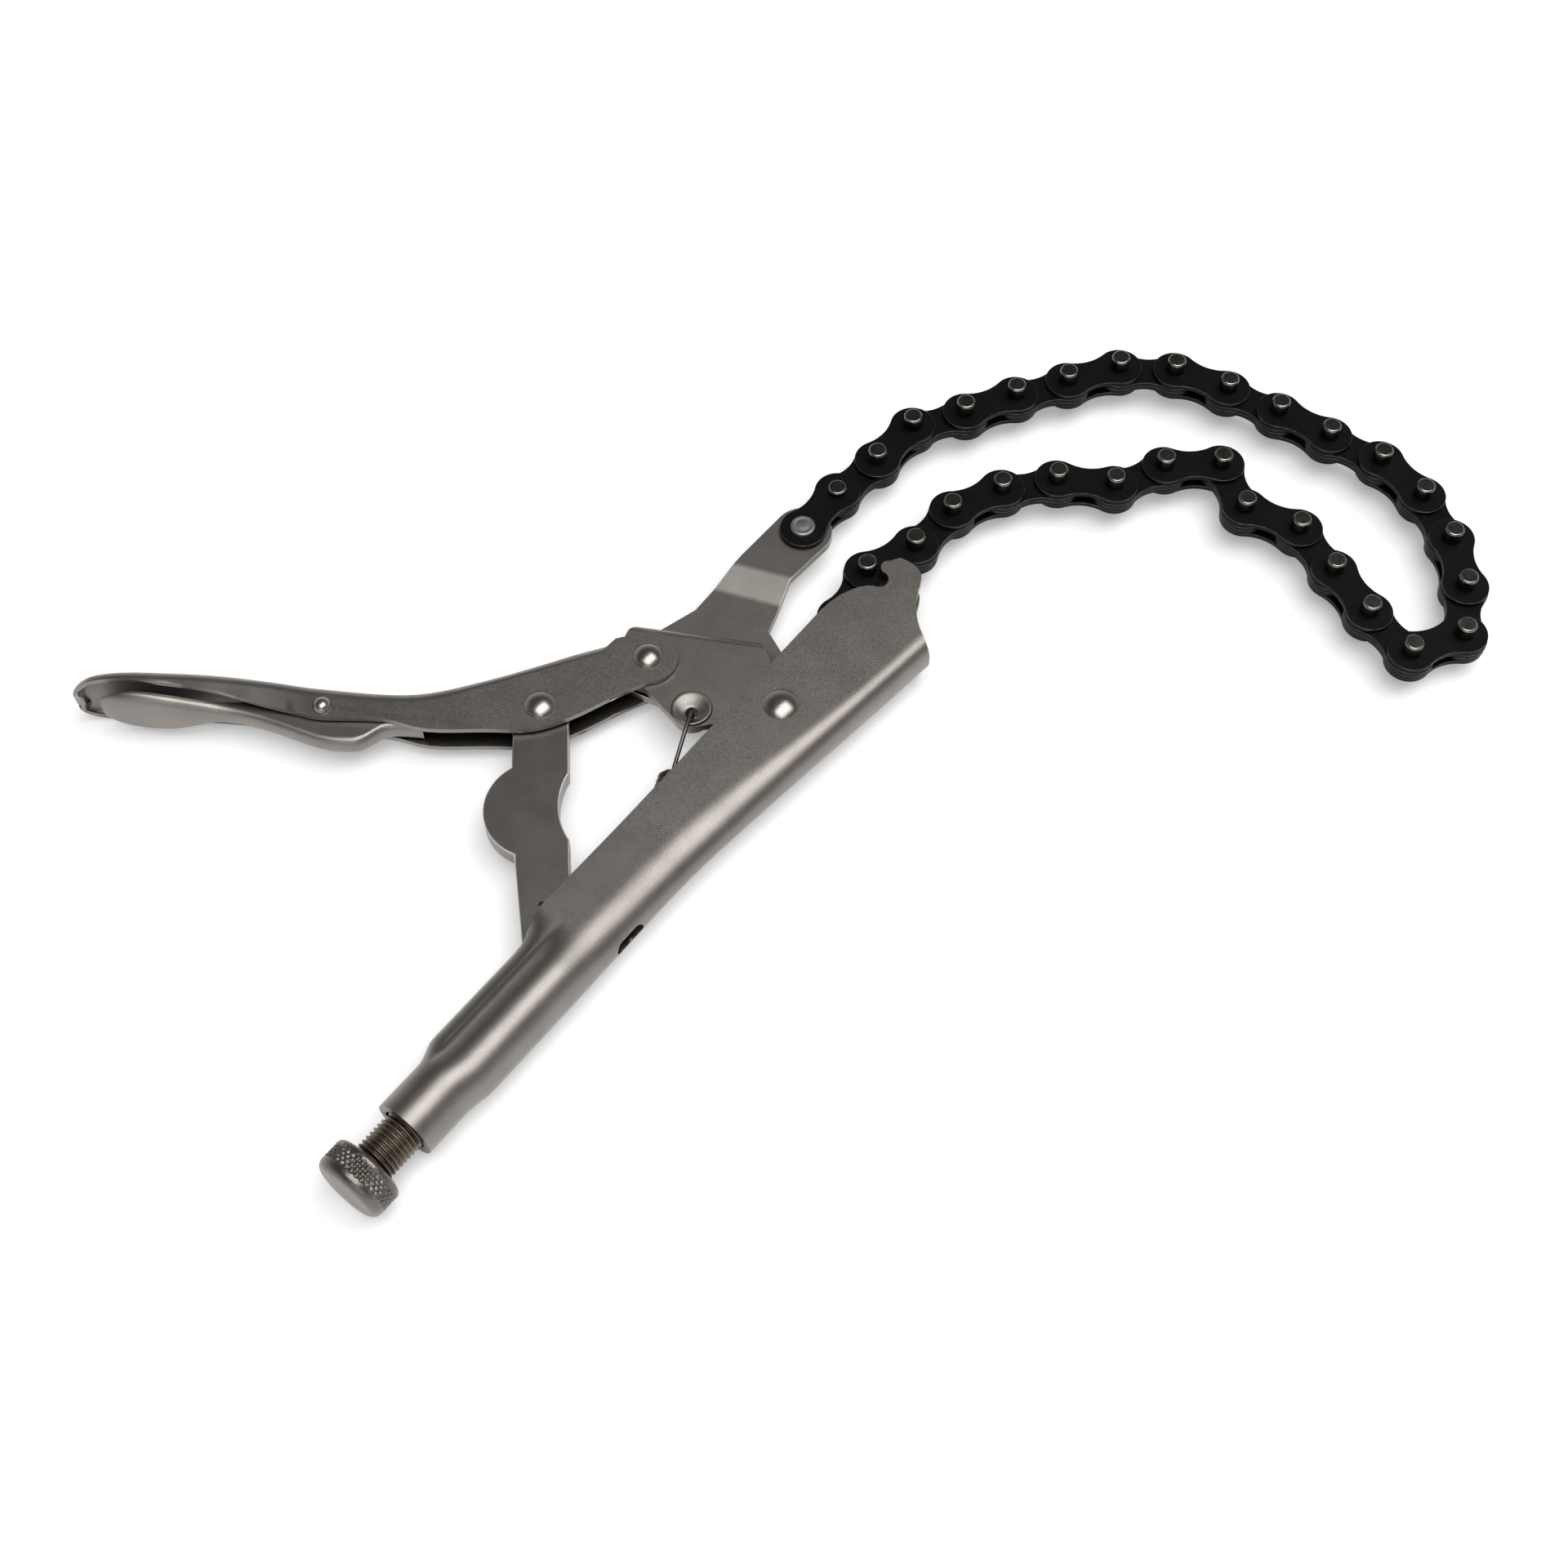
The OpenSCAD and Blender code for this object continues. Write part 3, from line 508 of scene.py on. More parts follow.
def bridge(shape: bmesh.types.BMesh, low: Ring, high: Ring) -> None:
    """Joins two rings of as many points with faces.

    Args:
        shape: The shape that holds both rings.
        low: The first ring.
        high: The second ring.
    """
    for i in range(len(low)):
        j = (i + 1) % len(low)
        shape.faces.new((low[i], low[j], high[j], high[i]))


def angles(first: float, last: float, steps: int) -> list[float]:
    """The angles of even steps from one angle to another, both in degrees, as radians."""
    return [math.radians(first + (last - first) * i / steps) for i in range(steps + 1)]


def wire_tube(path: Sequence[Vector], radius: float, sides: int) -> bmesh.types.BMesh:
    """Sweeps a round wire along a path without twist.

    Args:
        path: The wire's middle line in the frame, in metres.
        radius: The wire's radius in metres.
        sides: Points round the wire.

    Returns:
        The closed shape.
    """
    shape = bmesh.new()
    across = Vector((1.0, 0.2, 0.1))
    rings = []
    for i, point in enumerate(path):
        ahead = (path[min(i + 1, len(path) - 1)] - path[max(i - 1, 0)]).normalized()
        across = (across - ahead * across.dot(ahead)).normalized()
        other = ahead.cross(across)
        rings.append([
            shape.verts.new(
                point + radius * (math.cos(a) * across + math.sin(a) * other)
            )
            for a in (math.tau * k / sides for k in range(sides))
        ])
    for low, high in zip(rings, rings[1:]):
        bridge(shape, low, high)
    shape.faces.new(rings[0][::-1])
    shape.faces.new(rings[-1])
    return shape


def eased(x: float, start: float, end: float) -> float:
    """A smooth step from 0 at one place to 1 at another."""
    t = min(1.0, max(0.0, (x - start) / (end - start)))
    return t * t * (3 - 2 * t)


def evenly(line: Sequence[Plan], count: int) -> list[Plan]:
    """Sets points at even steps along a line.

    Args:
        line: The line's corners.
        count: How many points to set.

    Returns:
        The points, the line's two ends among them.
    """
    runs = [0.0]
    for (x0, y0), (x1, y1) in zip(line, line[1:]):
        runs.append(runs[-1] + math.hypot(x1 - x0, y1 - y0))
    points, k = [], 0
    for i in range(count):
        want = runs[-1] * i / (count - 1)
        while k < len(line) - 2 and runs[k + 1] < want:
            k += 1
        t = (want - runs[k]) / max(runs[k + 1] - runs[k], 1e-9)
        (x0, y0), (x1, y1) = line[k], line[k + 1]
        points.append((x0 + t * (x1 - x0), y0 + t * (y1 - y0)))
    return points


def rounded_corners(corners: Sequence[Corner]) -> list[Plan]:
    """Rounds the corners of a line, each over its own reach.

    Args:
        corners: Each corner's place and how far from it its curve starts.

    Returns:
        The line, with its first and last corner as they were.
    """
    line = [corners[0][:2]]
    for before, (x, y, reach), after in zip(corners, corners[1:], corners[2:]):
        arms = []
        for other in (before, after):
            away = Vector((other[0] - x, other[1] - y))
            arms.append(away.normalized() * min(reach, 0.48 * away.length))
        for i in range(7):
            t = i / 6
            place = Vector((x, y)) + arms[0] * (1 - t) ** 2 + arms[1] * t ** 2
            line.append((place.x, place.y))
    return line + [corners[-1][:2]]


def prism(outline: Sequence[Plan], low: float, high: float, place: Matrix) -> bpy.types.Object:
    """Stands a closed outline up between two heights, as a trimming tool.

    Args:
        outline: The outline's corners, in millimetres.
        low: The lower height.
        high: The upper height.
        place: The matrix from millimetres to the frame.

    Returns:
        The tool, which is removed after use.
    """
    shape = bmesh.new()
    foot = [shape.verts.new(place @ Vector((x, y, low))) for x, y in outline]
    head = [shape.verts.new(place @ Vector((x, y, high))) for x, y in outline]
    shape.faces.new(foot[::-1])
    shape.faces.new(head)
    bridge(shape, foot, head)
    return as_piece("trim", shape)


def trimmed(
    piece: bpy.types.Object,
    trims: Sequence[tuple[bpy.types.Object, str]],
    edge_mm: float,
) -> None:
    """Cuts a piece with trimming tools, breaks its edges and keeps the result as its mesh.

    Args:
        piece: The piece, with any modifiers that come before the cuts.
        trims: Each tool and the way that it cuts.
        edge_mm: The width of the broken edges, which get material index 1.
    """
    for tool, way in trims:
        cut = piece.modifiers.new("trim", "BOOLEAN")
        cut.operation = way
        cut.object = tool
        cut.solver = "EXACT"
    edge = piece.modifiers.new("edge", "BEVEL")
    edge.width = edge_mm * MM
    edge.segments = 3
    edge.limit_method = "ANGLE"
    edge.angle_limit = math.radians(CUT_EDGE_DEG)
    edge.material = 1
    bpy.context.view_layer.update()
    whole = piece.evaluated_get(bpy.context.evaluated_depsgraph_get())
    piece.data = bpy.data.meshes.new_from_object(whole)
    piece.modifiers.clear()
    for tool, _ in trims:
        bpy.data.objects.remove(tool)


@dataclass
class Stamping:
    """One pressed or punched piece that follows a node's solid."""

    node: str
    edge: Edge
    finish: MetalFinish
    edge_finish: MetalFinish
    from_deg: float = 28.0
    smooth_deg: float = 62.0

    def build(self) -> bpy.types.Object:
        """Builds and dresses the piece.

        Returns:
            The piece, riding on the node's body.
        """
        shape = softened(self.node, self.edge.value, self.from_deg)
        piece = weighted(as_piece(f"{self.node}_shell", shape, self.smooth_deg))
        return dress(piece, (self.finish, self.edge_finish), body_of(self.node), [self.node])


@dataclass
class Handle:
    """The handle: sheet folded to a channel with a hook at its head, and rolled round the nut at its rear.

    Sections are half outlines, from a cheek's rim round to the middle of the spine, as places across and up.
    """

    sheet: float = 2.1
    half: float = 5.8
    rim_rear: Plan = (-96.0, 9.0)
    rim_head: Plan = (28.0, 10.4)
    spine_break: Plan = (-50.0, -11.6)
    spine_ease: float = 5.0
    heel: Plan = (36.3, -19.6)
    fold_head: float = 4.8
    fold_rear: float = 7.1
    fold_run: Plan = (30.0, -85.0)
    fold_across: tuple[float, float, float] = (25.0, -50.0, 9.5)
    swell: tuple[float, float, float] = (-45.0, -95.0, 1.5)
    tube: tuple[float, float] = (-3.8, 7.8)
    lips: tuple[float, float] = (3.4, 4.6)
    lip_gap: float = 0.25
    sleeve: tuple[float, float] = (-2.4, 8.1)
    seam: float = 0.12
    roll_in: tuple[float, float] = (-82.0, -96.0)
    neck: tuple[float, float] = (-124.0, -132.0)
    rear: float = -145.0
    fine_to: float = -70.0
    fine_step: float = 1.4
    coarse_step: float = 3.25
    coarse_rows: int = 41
    hook_seat: Plan = (47.4, 4.6)
    hook_r: float = 2.7
    hook_tip: Plan = (2.15, 2.3)
    brow: tuple[Corner, ...] = ((28.0, 10.6, 3.0), (36.0, 9.9, 4.0))
    hook_back: tuple[Corner, ...] = ((-5.6, 2.7, 5.0), (-3.4, 0.8, 1.2))
    nose: tuple[Corner, ...] = (
        (9.2, -0.4, 2.0), (9.9, -4.0, 2.4), (8.6, -8.6, 5.0), (1.0, -11.6, 5.0),
        (-4.9, -16.6, 3.0), (-8.0, -21.4, 2.2), (-10.6, -26.5, 2.0),
    )
    chin: float = 33.0
    head_from: Plan = (20.0, 12.0)
    clear_of_all: Plan = (-300.0, 80.0)
    clear_height: float = 30.0
    slot: tuple[float, float, float] = (-74.0, 9.7, 4.4)
    slot_cut: tuple[float, float] = (8.0, 16.0)
    toggle_foot: Plan = (-93.7, -2.4)
    toggle_way: Plan = (0.73, 0.683)
    toggle_clear: float = 7.2
    toggle_run: float = 60.0
    toggle_half: float = 3.0
    nut_sides: int = 48
    nut: Profile = (
        (5.62, 131.0), (6.3, 131.0), (6.3, 144.2), (5.9, 144.5), (5.62, 144.2), (5.62, 131.0),
    )
    points: int = 34

    def channel(self, u: float) -> list[Plan]:
        """Draws the folded channel at a place along the handle.

        Args:
            u: The place, in millimetres forward of the jaw rivet.

        Returns:
            The channel's half section there.
        """
        share = (u - self.rim_rear[0]) / (self.rim_head[0] - self.rim_rear[0])
        top = self.rim_rear[1] + share * (self.rim_head[1] - self.rim_rear[1])
        fall = (self.heel[1] - self.spine_break[1]) / (self.heel[0] - self.spine_break[0])
        past = math.log1p(math.exp((u - self.spine_break[0]) / self.spine_ease))
        spine = self.spine_break[1] + fall * self.spine_ease * past
        first, last, swell = self.swell
        half = self.half + swell * eased(u, first, last)
        r = min(half - 0.1, self.fold_head + eased(u, *self.fold_run) * (self.fold_rear - self.fold_head))
        first, last, wide = self.fold_across
        across = self.fold_head + eased(u, first, last) * (wide - self.fold_head)
        fold = [
            (spine + across * (1 - math.sin(a)), half - r + r * math.cos(a))
            for a in angles(0, 90, 15)
        ]
        return evenly([(top, half), *fold, (spine, 0.0)], self.points)

    def rolled(self) -> list[Plan]:
        """Draws the tube: a lip rolled in over the round that holds the screw.

        Returns:
            The tube's half section.
        """
        (tube, tube_r), (lips, lip_r) = self.tube, self.lips
        reach = tube - lips
        cross = (lip_r ** 2 - tube_r ** 2 + reach ** 2) / (2 * reach)
        meet = math.acos(cross / lip_r)
        start = math.asin(self.lip_gap / lip_r)
        turn = math.atan2(math.sqrt(lip_r ** 2 - cross ** 2), cross - reach)
        lip = [start + (meet - start) * i / 24 for i in range(25)]
        body = [turn + (math.pi - turn) * i / 40 for i in range(1, 41)]
        line = [(lips + lip_r * math.cos(a), lip_r * math.sin(a)) for a in lip]
        line += [(tube + tube_r * math.cos(a), tube_r * math.sin(a)) for a in body]
        return evenly(line, self.points)

    def round_end(self) -> list[Plan]:
        """The half section of the round sleeve that grips the nut."""
        middle, r = self.sleeve
        return evenly([(middle + r * math.cos(a), r * math.sin(a)) for a in angles(1, 180, 60)], self.points)

    def section(self, u: float) -> list[Plan]:
        """Blends the channel, the tube and the sleeve at a place along the handle.

        Args:
            u: The place, in millimetres forward of the jaw rivet.

        Returns:
            The half section there.
        """
        roll, draw = eased(u, *self.roll_in), eased(u, *self.neck)
        mixed = []
        for open_, closed, end in zip(self.channel(u), self.rolled(), self.round_end()):
            tube = (open_[0] + roll * (closed[0] - open_[0]), open_[1] + roll * (closed[1] - open_[1]))
            mixed.append((tube[0] + draw * (end[0] - tube[0]), tube[1] + draw * (end[1] - tube[1])))
        return mixed

    def ring(self, u: float) -> list[Plan]:
        """Gives a section its thickness and its other half.

        Args:
            u: The place along the handle.

        Returns:
            The closed section: round the outside from one rim to the other, and back round the inside.
        """
        outside = self.section(u)
        inside = []
        for i, (v, z) in enumerate(outside):
            (v0, z0), (v1, z1) = outside[max(i - 1, 0)], outside[min(i + 1, len(outside) - 1)]
            run = math.hypot(v1 - v0, z1 - z0)
            across, up = (z1 - z0) / run, (v0 - v1) / run
            inside.append((v - self.sheet * across, max(self.seam, z - self.sheet * up)))
        spine = outside[-1][0]
        inside[-1] = (spine + self.sheet, 0.0)
        out = outside + [(v, -z) for v, z in reversed(outside[:-1])]
        back = [(v, -z) for v, z in inside] + list(reversed(inside[:-1]))
        return out + back

    def sheet_metal(self) -> bpy.types.Object:
        """Lofts the sheet from the sleeve to past the head.

        Returns:
            The sheet, closed at both ends.
        """
        shape = bmesh.new()
        place = PLAN.handle_axes()
        fine_rows = int((self.fine_to - self.rear) / self.fine_step)
        stations = [self.rear + self.fine_step * i for i in range(fine_rows)]
        stations += [self.fine_to + self.coarse_step * i for i in range(self.coarse_rows)]
        rows = [[shape.verts.new(place @ Vector((u, v, z))) for v, z in self.ring(u)] for u in stations]
        count = len(rows[0])
        for low, high in zip(rows, rows[1:]):
            bridge(shape, low, high)
        for row in (rows[0], rows[-1]):
            for i in range(count // 2 - 1):
                shape.faces.new((row[i], row[i + 1], row[count - 2 - i], row[count - 1 - i]))
        return as_piece("handle_shell", shape)

    def from_seat(self, corners: Sequence[Corner]) -> list[Corner]:
        """Moves corners that are given from the hook's seat to their places along the handle."""
        u, v = self.hook_seat
        return [(u + du, v + dv, reach) for du, dv, reach in corners]

    def head_outline(self) -> list[Plan]:
        """The side outline that the head is trimmed to, with the hook's notch and tip.

        Returns:
            The outline's corners along and across the handle, with all behind the head left in.
        """
        u, v = self.hook_seat
        r, (ahead, tip_r) = self.hook_r, self.hook_tip
        notch = [(u + r * math.cos(a), v + r * math.sin(a)) for a in angles(186, 360, 16)]
        tip_u = u + r + ahead
        tip = [(tip_u + tip_r * math.cos(a), v + tip_r * math.sin(a)) for a in angles(180, 30, 14)]
        nose = rounded_corners(self.from_seat(self.nose))
        top = rounded_corners([*self.brow, *self.from_seat(self.hook_back)])
        far_u, far_v = self.clear_of_all
        behind = [(far_u, -far_v), (far_u, far_v), (self.head_from[0], far_v), self.head_from]
        return behind + top + notch + tip + nose + [(self.chin, -far_v)]

    def build(self) -> list[bpy.types.Object]:
        """Builds the handle: the sheet trimmed to its outline and slotted, with the nut in its sleeve.

        Returns:
            The handle's shell.
        """
        piece = self.sheet_metal()
        place = PLAN.handle_axes()
        u, long, wide = self.slot
        r = wide / 2
        run = long / 2 - r
        ends = [(u + run, -90, 90), (u - run, 90, 270)]
        slot = [
            (mid + r * math.cos(a), r * math.sin(a))
            for mid, first, last in ends
            for a in angles(first, last, 12)
        ]
        (du, dv), (fu, fv), clear = self.toggle_way, self.toggle_foot, self.toggle_clear
        way = [
            (fu + far * du + clear * math.cos(a), fv + far * dv + clear * math.sin(a))
            for far, first in ((0.0, 133.0), (self.toggle_run, -47.0))
            for a in angles(first, first + 180, 20)
        ]
        spine_face = place @ Matrix.Rotation(math.radians(90), 4, "X")
        trims = [
            (prism(self.head_outline(), -self.clear_height, self.clear_height, place), "INTERSECT"),
            (prism(way, -self.toggle_half, self.toggle_half, place), "DIFFERENCE"),
            (prism(slot, *self.slot_cut, spine_face), "DIFFERENCE"),
        ]
        trimmed(piece, trims, Edge.ROLLED.value)
        shape = bmesh.new()
        shape.from_mesh(piece.data)
        ring = as_piece("nut", lathe(self.nut, self.nut_sides, ScrewAndKnob().axis()))
        shape.from_mesh(ring.data)
        bpy.data.objects.remove(ring)
        bpy.data.objects.remove(piece)
        piece = weighted(as_piece("handle_shell", shape, smooth_deg=50.0))
        return [dress(piece, (NICKEL, NICKEL_EDGE_HIGHLIGHT), "handle", ["fixed_handle"])]


@dataclass
class ScrewAndKnob:
    """The adjusting screw with its cut thread and the knurled knob on its end."""

    drop: float = 2.4
    thread_r: float = 5.55
    thread_pitch: float = 1.27
    thread_depth: float = 0.7
    thread_rows: int = 10
    thread_inset: float = 1.0
    thread_root: float = 0.08
    thread_flank: float = 0.8
    thread_sides: int = 48
    tip_chamfer: float = 1.2
    neck_r: float = 4.8
    tip: float = 100.7
    knob_front: float = 156.5
    knob_len: float = 8.5
    knob_r: float = 9.5
    rim: float = 1.2
    rear_rim: float = 2.3
    knurls: int = 34
    knurl_depth: float = 0.62

    def axis(self) -> Matrix:
        """The matrix from millimetres along the screw, backwards from the jaw rivet, to the frame."""
        back = Matrix.Translation((0, -self.drop, 0)) @ Matrix.Rotation(math.radians(-90), 4, "Y")
        return PLAN.handle_axes() @ back

    def screw(self) -> bpy.types.Object:
        """Builds the screw with a thread that runs round it as a helix.

        Returns:
            The screw.
        """
        first, last = self.tip + self.thread_inset, self.knob_front - self.thread_inset
        rows = int((last - first) / self.thread_pitch * self.thread_rows)
        profile = [(0.0, self.tip), (self.thread_r - self.tip_chamfer, self.tip)]
        profile += [(self.thread_r, first + (last - first) * i / rows) for i in range(rows + 1)]
        profile += [(self.neck_r, last + 0.3), (self.neck_r, self.knob_front), (0.0, self.knob_front)]

        def crest(r: float, h: float, a: float) -> float:
            """Cuts the thread's helix into a ring.

            Args:
                r: The ring's radius.
                h: Its height.
                a: The angle round it.

            Returns:
                The radius there.
            """
            if r < self.thread_r - 0.01:
                return r
            turn = (h / self.thread_pitch + a / math.tau) % 1.0
            tooth = (abs(2 * turn - 1) - self.thread_root) / self.thread_flank
            return r - self.thread_depth * (1 - min(1.0, max(0.0, tooth)))

        shape = lathe(profile, self.thread_sides, self.axis(), crest)
        piece = as_piece("screw_thread", shape, smooth_deg=75.0)
        return dress(piece, (SCREW_STEEL,), body_of("adjusting_screw"), ["adjusting_screw"])

    def knob(self) -> bpy.types.Object:
        """Builds the knob with crossed knurling between two rolled rims.

        Returns:
            The knob.
        """
        steps = self.knurls * 8
        low, high = self.knob_front, self.knob_front + self.knob_len
        profile = [(0.0, low), (self.knob_r - 1.6 * self.rim, low)]
        profile += [
            (self.knob_r - self.rim + self.rim * math.sin(t), low + self.rim - self.rim * math.cos(t))
            for t in angles(0, 90, 6)
        ]
        band = [low + self.rim + (self.knob_len - self.rim - self.rear_rim) * i / 30 for i in range(1, 30)]
        profile += [(self.knob_r, h) for h in band]
        profile += [
            (self.knob_r + self.rear_rim * (math.cos(t) - 1), high + self.rear_rim * (math.sin(t) - 1))
            for t in angles(0, 90, 6)
        ]
        profile += [(self.knob_r - 2.0 * self.rear_rim, high + 0.1), (0.0, high + 0.2)]
        lead = math.tau * self.knob_r / self.knurls

        def knurl(r: float, h: float, a: float) -> float:
            """Cuts the crossed knurling into a ring.

            Args:
                r: The ring's radius.
                h: Its height.
                a: The angle round it.

            Returns:
                The radius there.
            """
            if not band[0] - 0.01 <= h <= band[-1] + 0.01 or r < self.knob_r - 0.01:
                return r
            ends = min(1.0, 1.6 * min(h - band[0], band[-1] - h))
            one = self.knurls * a / math.tau + h / lead
            two = self.knurls * a / math.tau - h / lead
            bead = abs(math.sin(math.pi * one) * math.sin(math.pi * two))
            return r - self.knurl_depth * ends * (1 - math.sqrt(bead))

        piece = as_piece("knurled_knob", lathe(profile, steps, self.axis(), knurl), smooth_deg=50.0)
        return dress(piece, (NICKEL_KNOB,), body_of("screw_knob"), ["screw_knob"])

    def build(self) -> list[bpy.types.Object]:
        """Builds the screw and the knob, and returns both."""
        return [self.screw(), self.knob()]


@dataclass
class Jaw:
    """The moving jaw: the stepped arm that carries the chain, and the folded cover with the spring's eye."""

    edge: Edge = Edge.TUMBLED
    top: float = 3.2
    eye: Plan = (-23.3, 0.3)
    eye_hole: Plan = (-23.2, -1.2)
    eye_sides: int = 48
    eye_profile: Profile = (
        (5.3, -1.6), (5.45, -0.2), (5.4, 0.45), (5.15, 0.85), (4.8, 0.95), (4.4, 0.85),
        (3.8, 0.6), (3.2, 0.36), (2.6, 0.18), (2.1, 0.06), (1.85, -0.1), (1.8, -1.6),
    )

    def button(self) -> bpy.types.Object:
        """Builds the dished rim that is pressed up round the spring's hole.

        Returns:
            The rim, its rings moving from the eye's middle to the hole's.
        """
        shape = bmesh.new()
        rows = []
        outer, inner = self.eye_profile[0][0], self.eye_profile[-1][0]
        for r, h in self.eye_profile:
            t = min(1.0, max(0.0, (outer - r) / (outer - inner)))
            x = self.eye[0] + t * (self.eye_hole[0] - self.eye[0])
            y = self.eye[1] + t * (self.eye_hole[1] - self.eye[1])
            rows.append([
                shape.verts.new(PLAN.at(x + r * math.cos(a), y + r * math.sin(a), self.top + h))
                for a in (math.tau * i / self.eye_sides for i in range(self.eye_sides))
            ])
        for low, high in zip(rows, rows[1:] + rows[:1]):
            bridge(shape, low, high)
        piece = as_piece("spring_eye_rim", shape, smooth_deg=60.0)
        return dress(piece, (NICKEL,), "jaw", [])

    def build(self) -> list[bpy.types.Object]:
        """Builds the jaw's two stampings and the eye's rim.

        Returns:
            The arm, the cover and the rim.
        """
        arm = Stamping("jaw_arm", self.edge, NICKEL, NICKEL_EDGE_HIGHLIGHT).build()
        cover = Stamping("jaw_cover", self.edge, NICKEL, NICKEL_EDGE_HIGHLIGHT, smooth_deg=14.0).build()
        return [arm, cover, self.button()]


@dataclass
class HandLever:
    """The hand lever, the release lever in it and the toggle link under it."""

    edge: Edge = Edge.TUMBLED
    tail: Plan = (-182.4, 5.35)
    tail_bow: Plan = (1.5, 0.9)
    tail_half: float = 3.4
    bead_r: float = 1.4

    def tail_end(self) -> bpy.types.Object:
        """Rolls a bead round the open end of the lever's tail.

        Returns:
            The bead, riding on the lever.
        """
        (x, y), (back, up) = self.tail, self.tail_bow
        arch = [
            PLAN.at(x - back * math.cos(a), y + up * math.cos(a), self.tail_half * math.sin(a))
            for a in angles(-90, 90, 24)
        ]
        piece = as_piece("lever_tail_bead", wire_tube(arch, self.bead_r * MM, sides=14))
        return dress(piece, (NICKEL_RIVET,), "lever", [])

    def build(self) -> list[bpy.types.Object]:
        """Builds the levers, the toggle and the tail's bead.

        Returns:
            The four pieces.
        """
        finishes = {"lever": NICKEL, "release_lever": NICKEL, "toggle_link": NICKEL_TOGGLE}
        levers = [Stamping(n, self.edge, f, NICKEL_EDGE_HIGHLIGHT, from_deg=40.0).build() for n, f in finishes.items()]
        return levers + [self.tail_end()]


@dataclass
class Rivets:
    """The rivets with a dome at each end, on the places and diameters of the frame's own."""

    names: tuple[str, ...] = ("jaw_rivet", "lever_rivet", "toggle_rivet", "release_rivet", "chain_rivet")
    dome: float = 2.0
    step: float = 0.35
    shank: float = 0.66
    sides: int = 56
    flat_head: Profile = (
        (1.0, 0.0), (1.0, 0.75), (0.95, 1.0), (0.86, 1.15), (0.74, 1.18), (0.68, 1.1), (0.5, 1.2), (0.0, 1.3),
    )

    def rivet(self, name: str) -> bpy.types.Object:
        """Turns one rivet: shallow domes on a small step, or flat heads for the chain's.

        Args:
            name: The rivet's node.

        Returns:
            The rivet.
        """
        corners = frame["nodes"][name].bound_box
        low, high = Vector(corners[0]), Vector(corners[6])
        place = Matrix.Translation((low + high) / 2) @ Matrix.Scale(MM, 4)
        r, half = (high.x - low.x) / 2 / MM, (high.z - low.z) / 2 / MM - self.dome
        if name == "chain_rivet":
            finish = CHAIN_RIVET_STEEL
            head = [(r * across, half + rise) for across, rise in self.flat_head]
        else:
            finish = NICKEL_RIVET
            cap = self.dome - self.step
            ball = (r * r + cap * cap) / (2 * cap)
            rings = [r * math.cos(a) for a in angles(0, 82.5, 11)] + [0.0]
            head = [(r, half)]
            head += [(x, half + self.dome - ball + math.sqrt(ball * ball - x * x)) for x in rings]
        upper = [(self.shank * r, half), *head]
        lower = [(x, -h) for x, h in reversed(upper)]
        piece = as_piece(f"{name}_turned", lathe(lower + upper, self.sides, place), smooth_deg=50.0)
        return dress(piece, (finish,), body_of(name), [name])

    def build(self) -> list[bpy.types.Object]:
        """Builds all rivets, and returns them."""
        return [self.rivet(name) for name in self.names]


@dataclass
class ReturnSpring:
    """The return spring: a close coil with a long hook to the jaw's eye and a foot in the spine's slot."""

    eye_hole: Plan = (-23.2, -1.2)
    over_jaw: float = 4.8
    coil_top: Plan = (-28.0, -17.0)
    coil_foot: Plan = (-70.6, -6.2)
    foot: Plan = (-74.0, -11.6)
    wire_r: float = 0.55
    coil_r: float = 2.75
    turns: int = 28
    per_turn: int = 20
    lead_turns: float = 0.75
    hook_low: float = -0.4
    hook_bend: Plan = (-1.6, -6.2)
    lead_in: float = 1.2
    lead_out: float = 0.8
    foot_rise: float = 3.4

    def path(self) -> list[Vector]:
        """Lays out the wire's middle line.

        Returns:
            Its points in the frame, from the eye to the slot.
        """
        x, y = self.eye_hole
        top = PLAN.at(*self.coil_top)
        low = PLAN.along(*self.coil_foot)
        way = (low - top).normalized()
        hook = self.rounded([
            PLAN.at(x, y, self.hook_low),
            PLAN.at(x, y, self.over_jaw),
            PLAN.at(x + self.hook_bend[0], y + self.hook_bend[1], self.over_jaw),
            top - self.lead_in * MM * way,
        ])
        flat = Vector((0, 0, 1)).cross(way).normalized()
        coil = []
        for i in range(self.turns * self.per_turn + 1):
            turn = i / self.per_turn
            ease = min(turn / self.lead_turns, (self.turns - turn) / self.lead_turns, 1.0)
            a = math.tau * turn
            side = math.cos(a) * flat + math.sin(a) * Vector((0, 0, 1))
            coil.append(top.lerp(low, turn / self.turns) + self.coil_r * MM * ease * side)
        foot = self.rounded([
            low + self.lead_out * MM * way,
            PLAN.along(self.foot[0], self.foot[1] + self.foot_rise),
            PLAN.along(*self.foot),
        ])
        return hook + coil + foot

    @staticmethod
    def rounded(points: Sequence[Vector], reach: float = 1.6 * MM) -> list[Vector]:
        """Rounds the inner corners of a line.

        Args:
            points: The line's corners.
            reach: How far from a corner its bend starts.

        Returns:
            The line with curved corners.
        """
        line = [points[0]]
        for before, corner, after in zip(points, points[1:], points[2:]):
            back = reach * (before - corner).normalized()
            ahead = reach * (after - corner).normalized()
            for k in range(9):
                t = k / 8
                line.append(corner + back * (1 - t) ** 2 + ahead * t ** 2)
        return line + [points[-1]]

    def build(self) -> list[bpy.types.Object]:
        """Builds the spring, which stretches between the handle and the jaw.

        Returns:
            The spring.
        """
        shape = wire_tube(self.path(), self.wire_r * MM, sides=12)
        piece = dress(as_piece("coil_spring", shape), (WIRE_STEEL,), None, ["spring"])
        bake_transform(piece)
        return [piece]


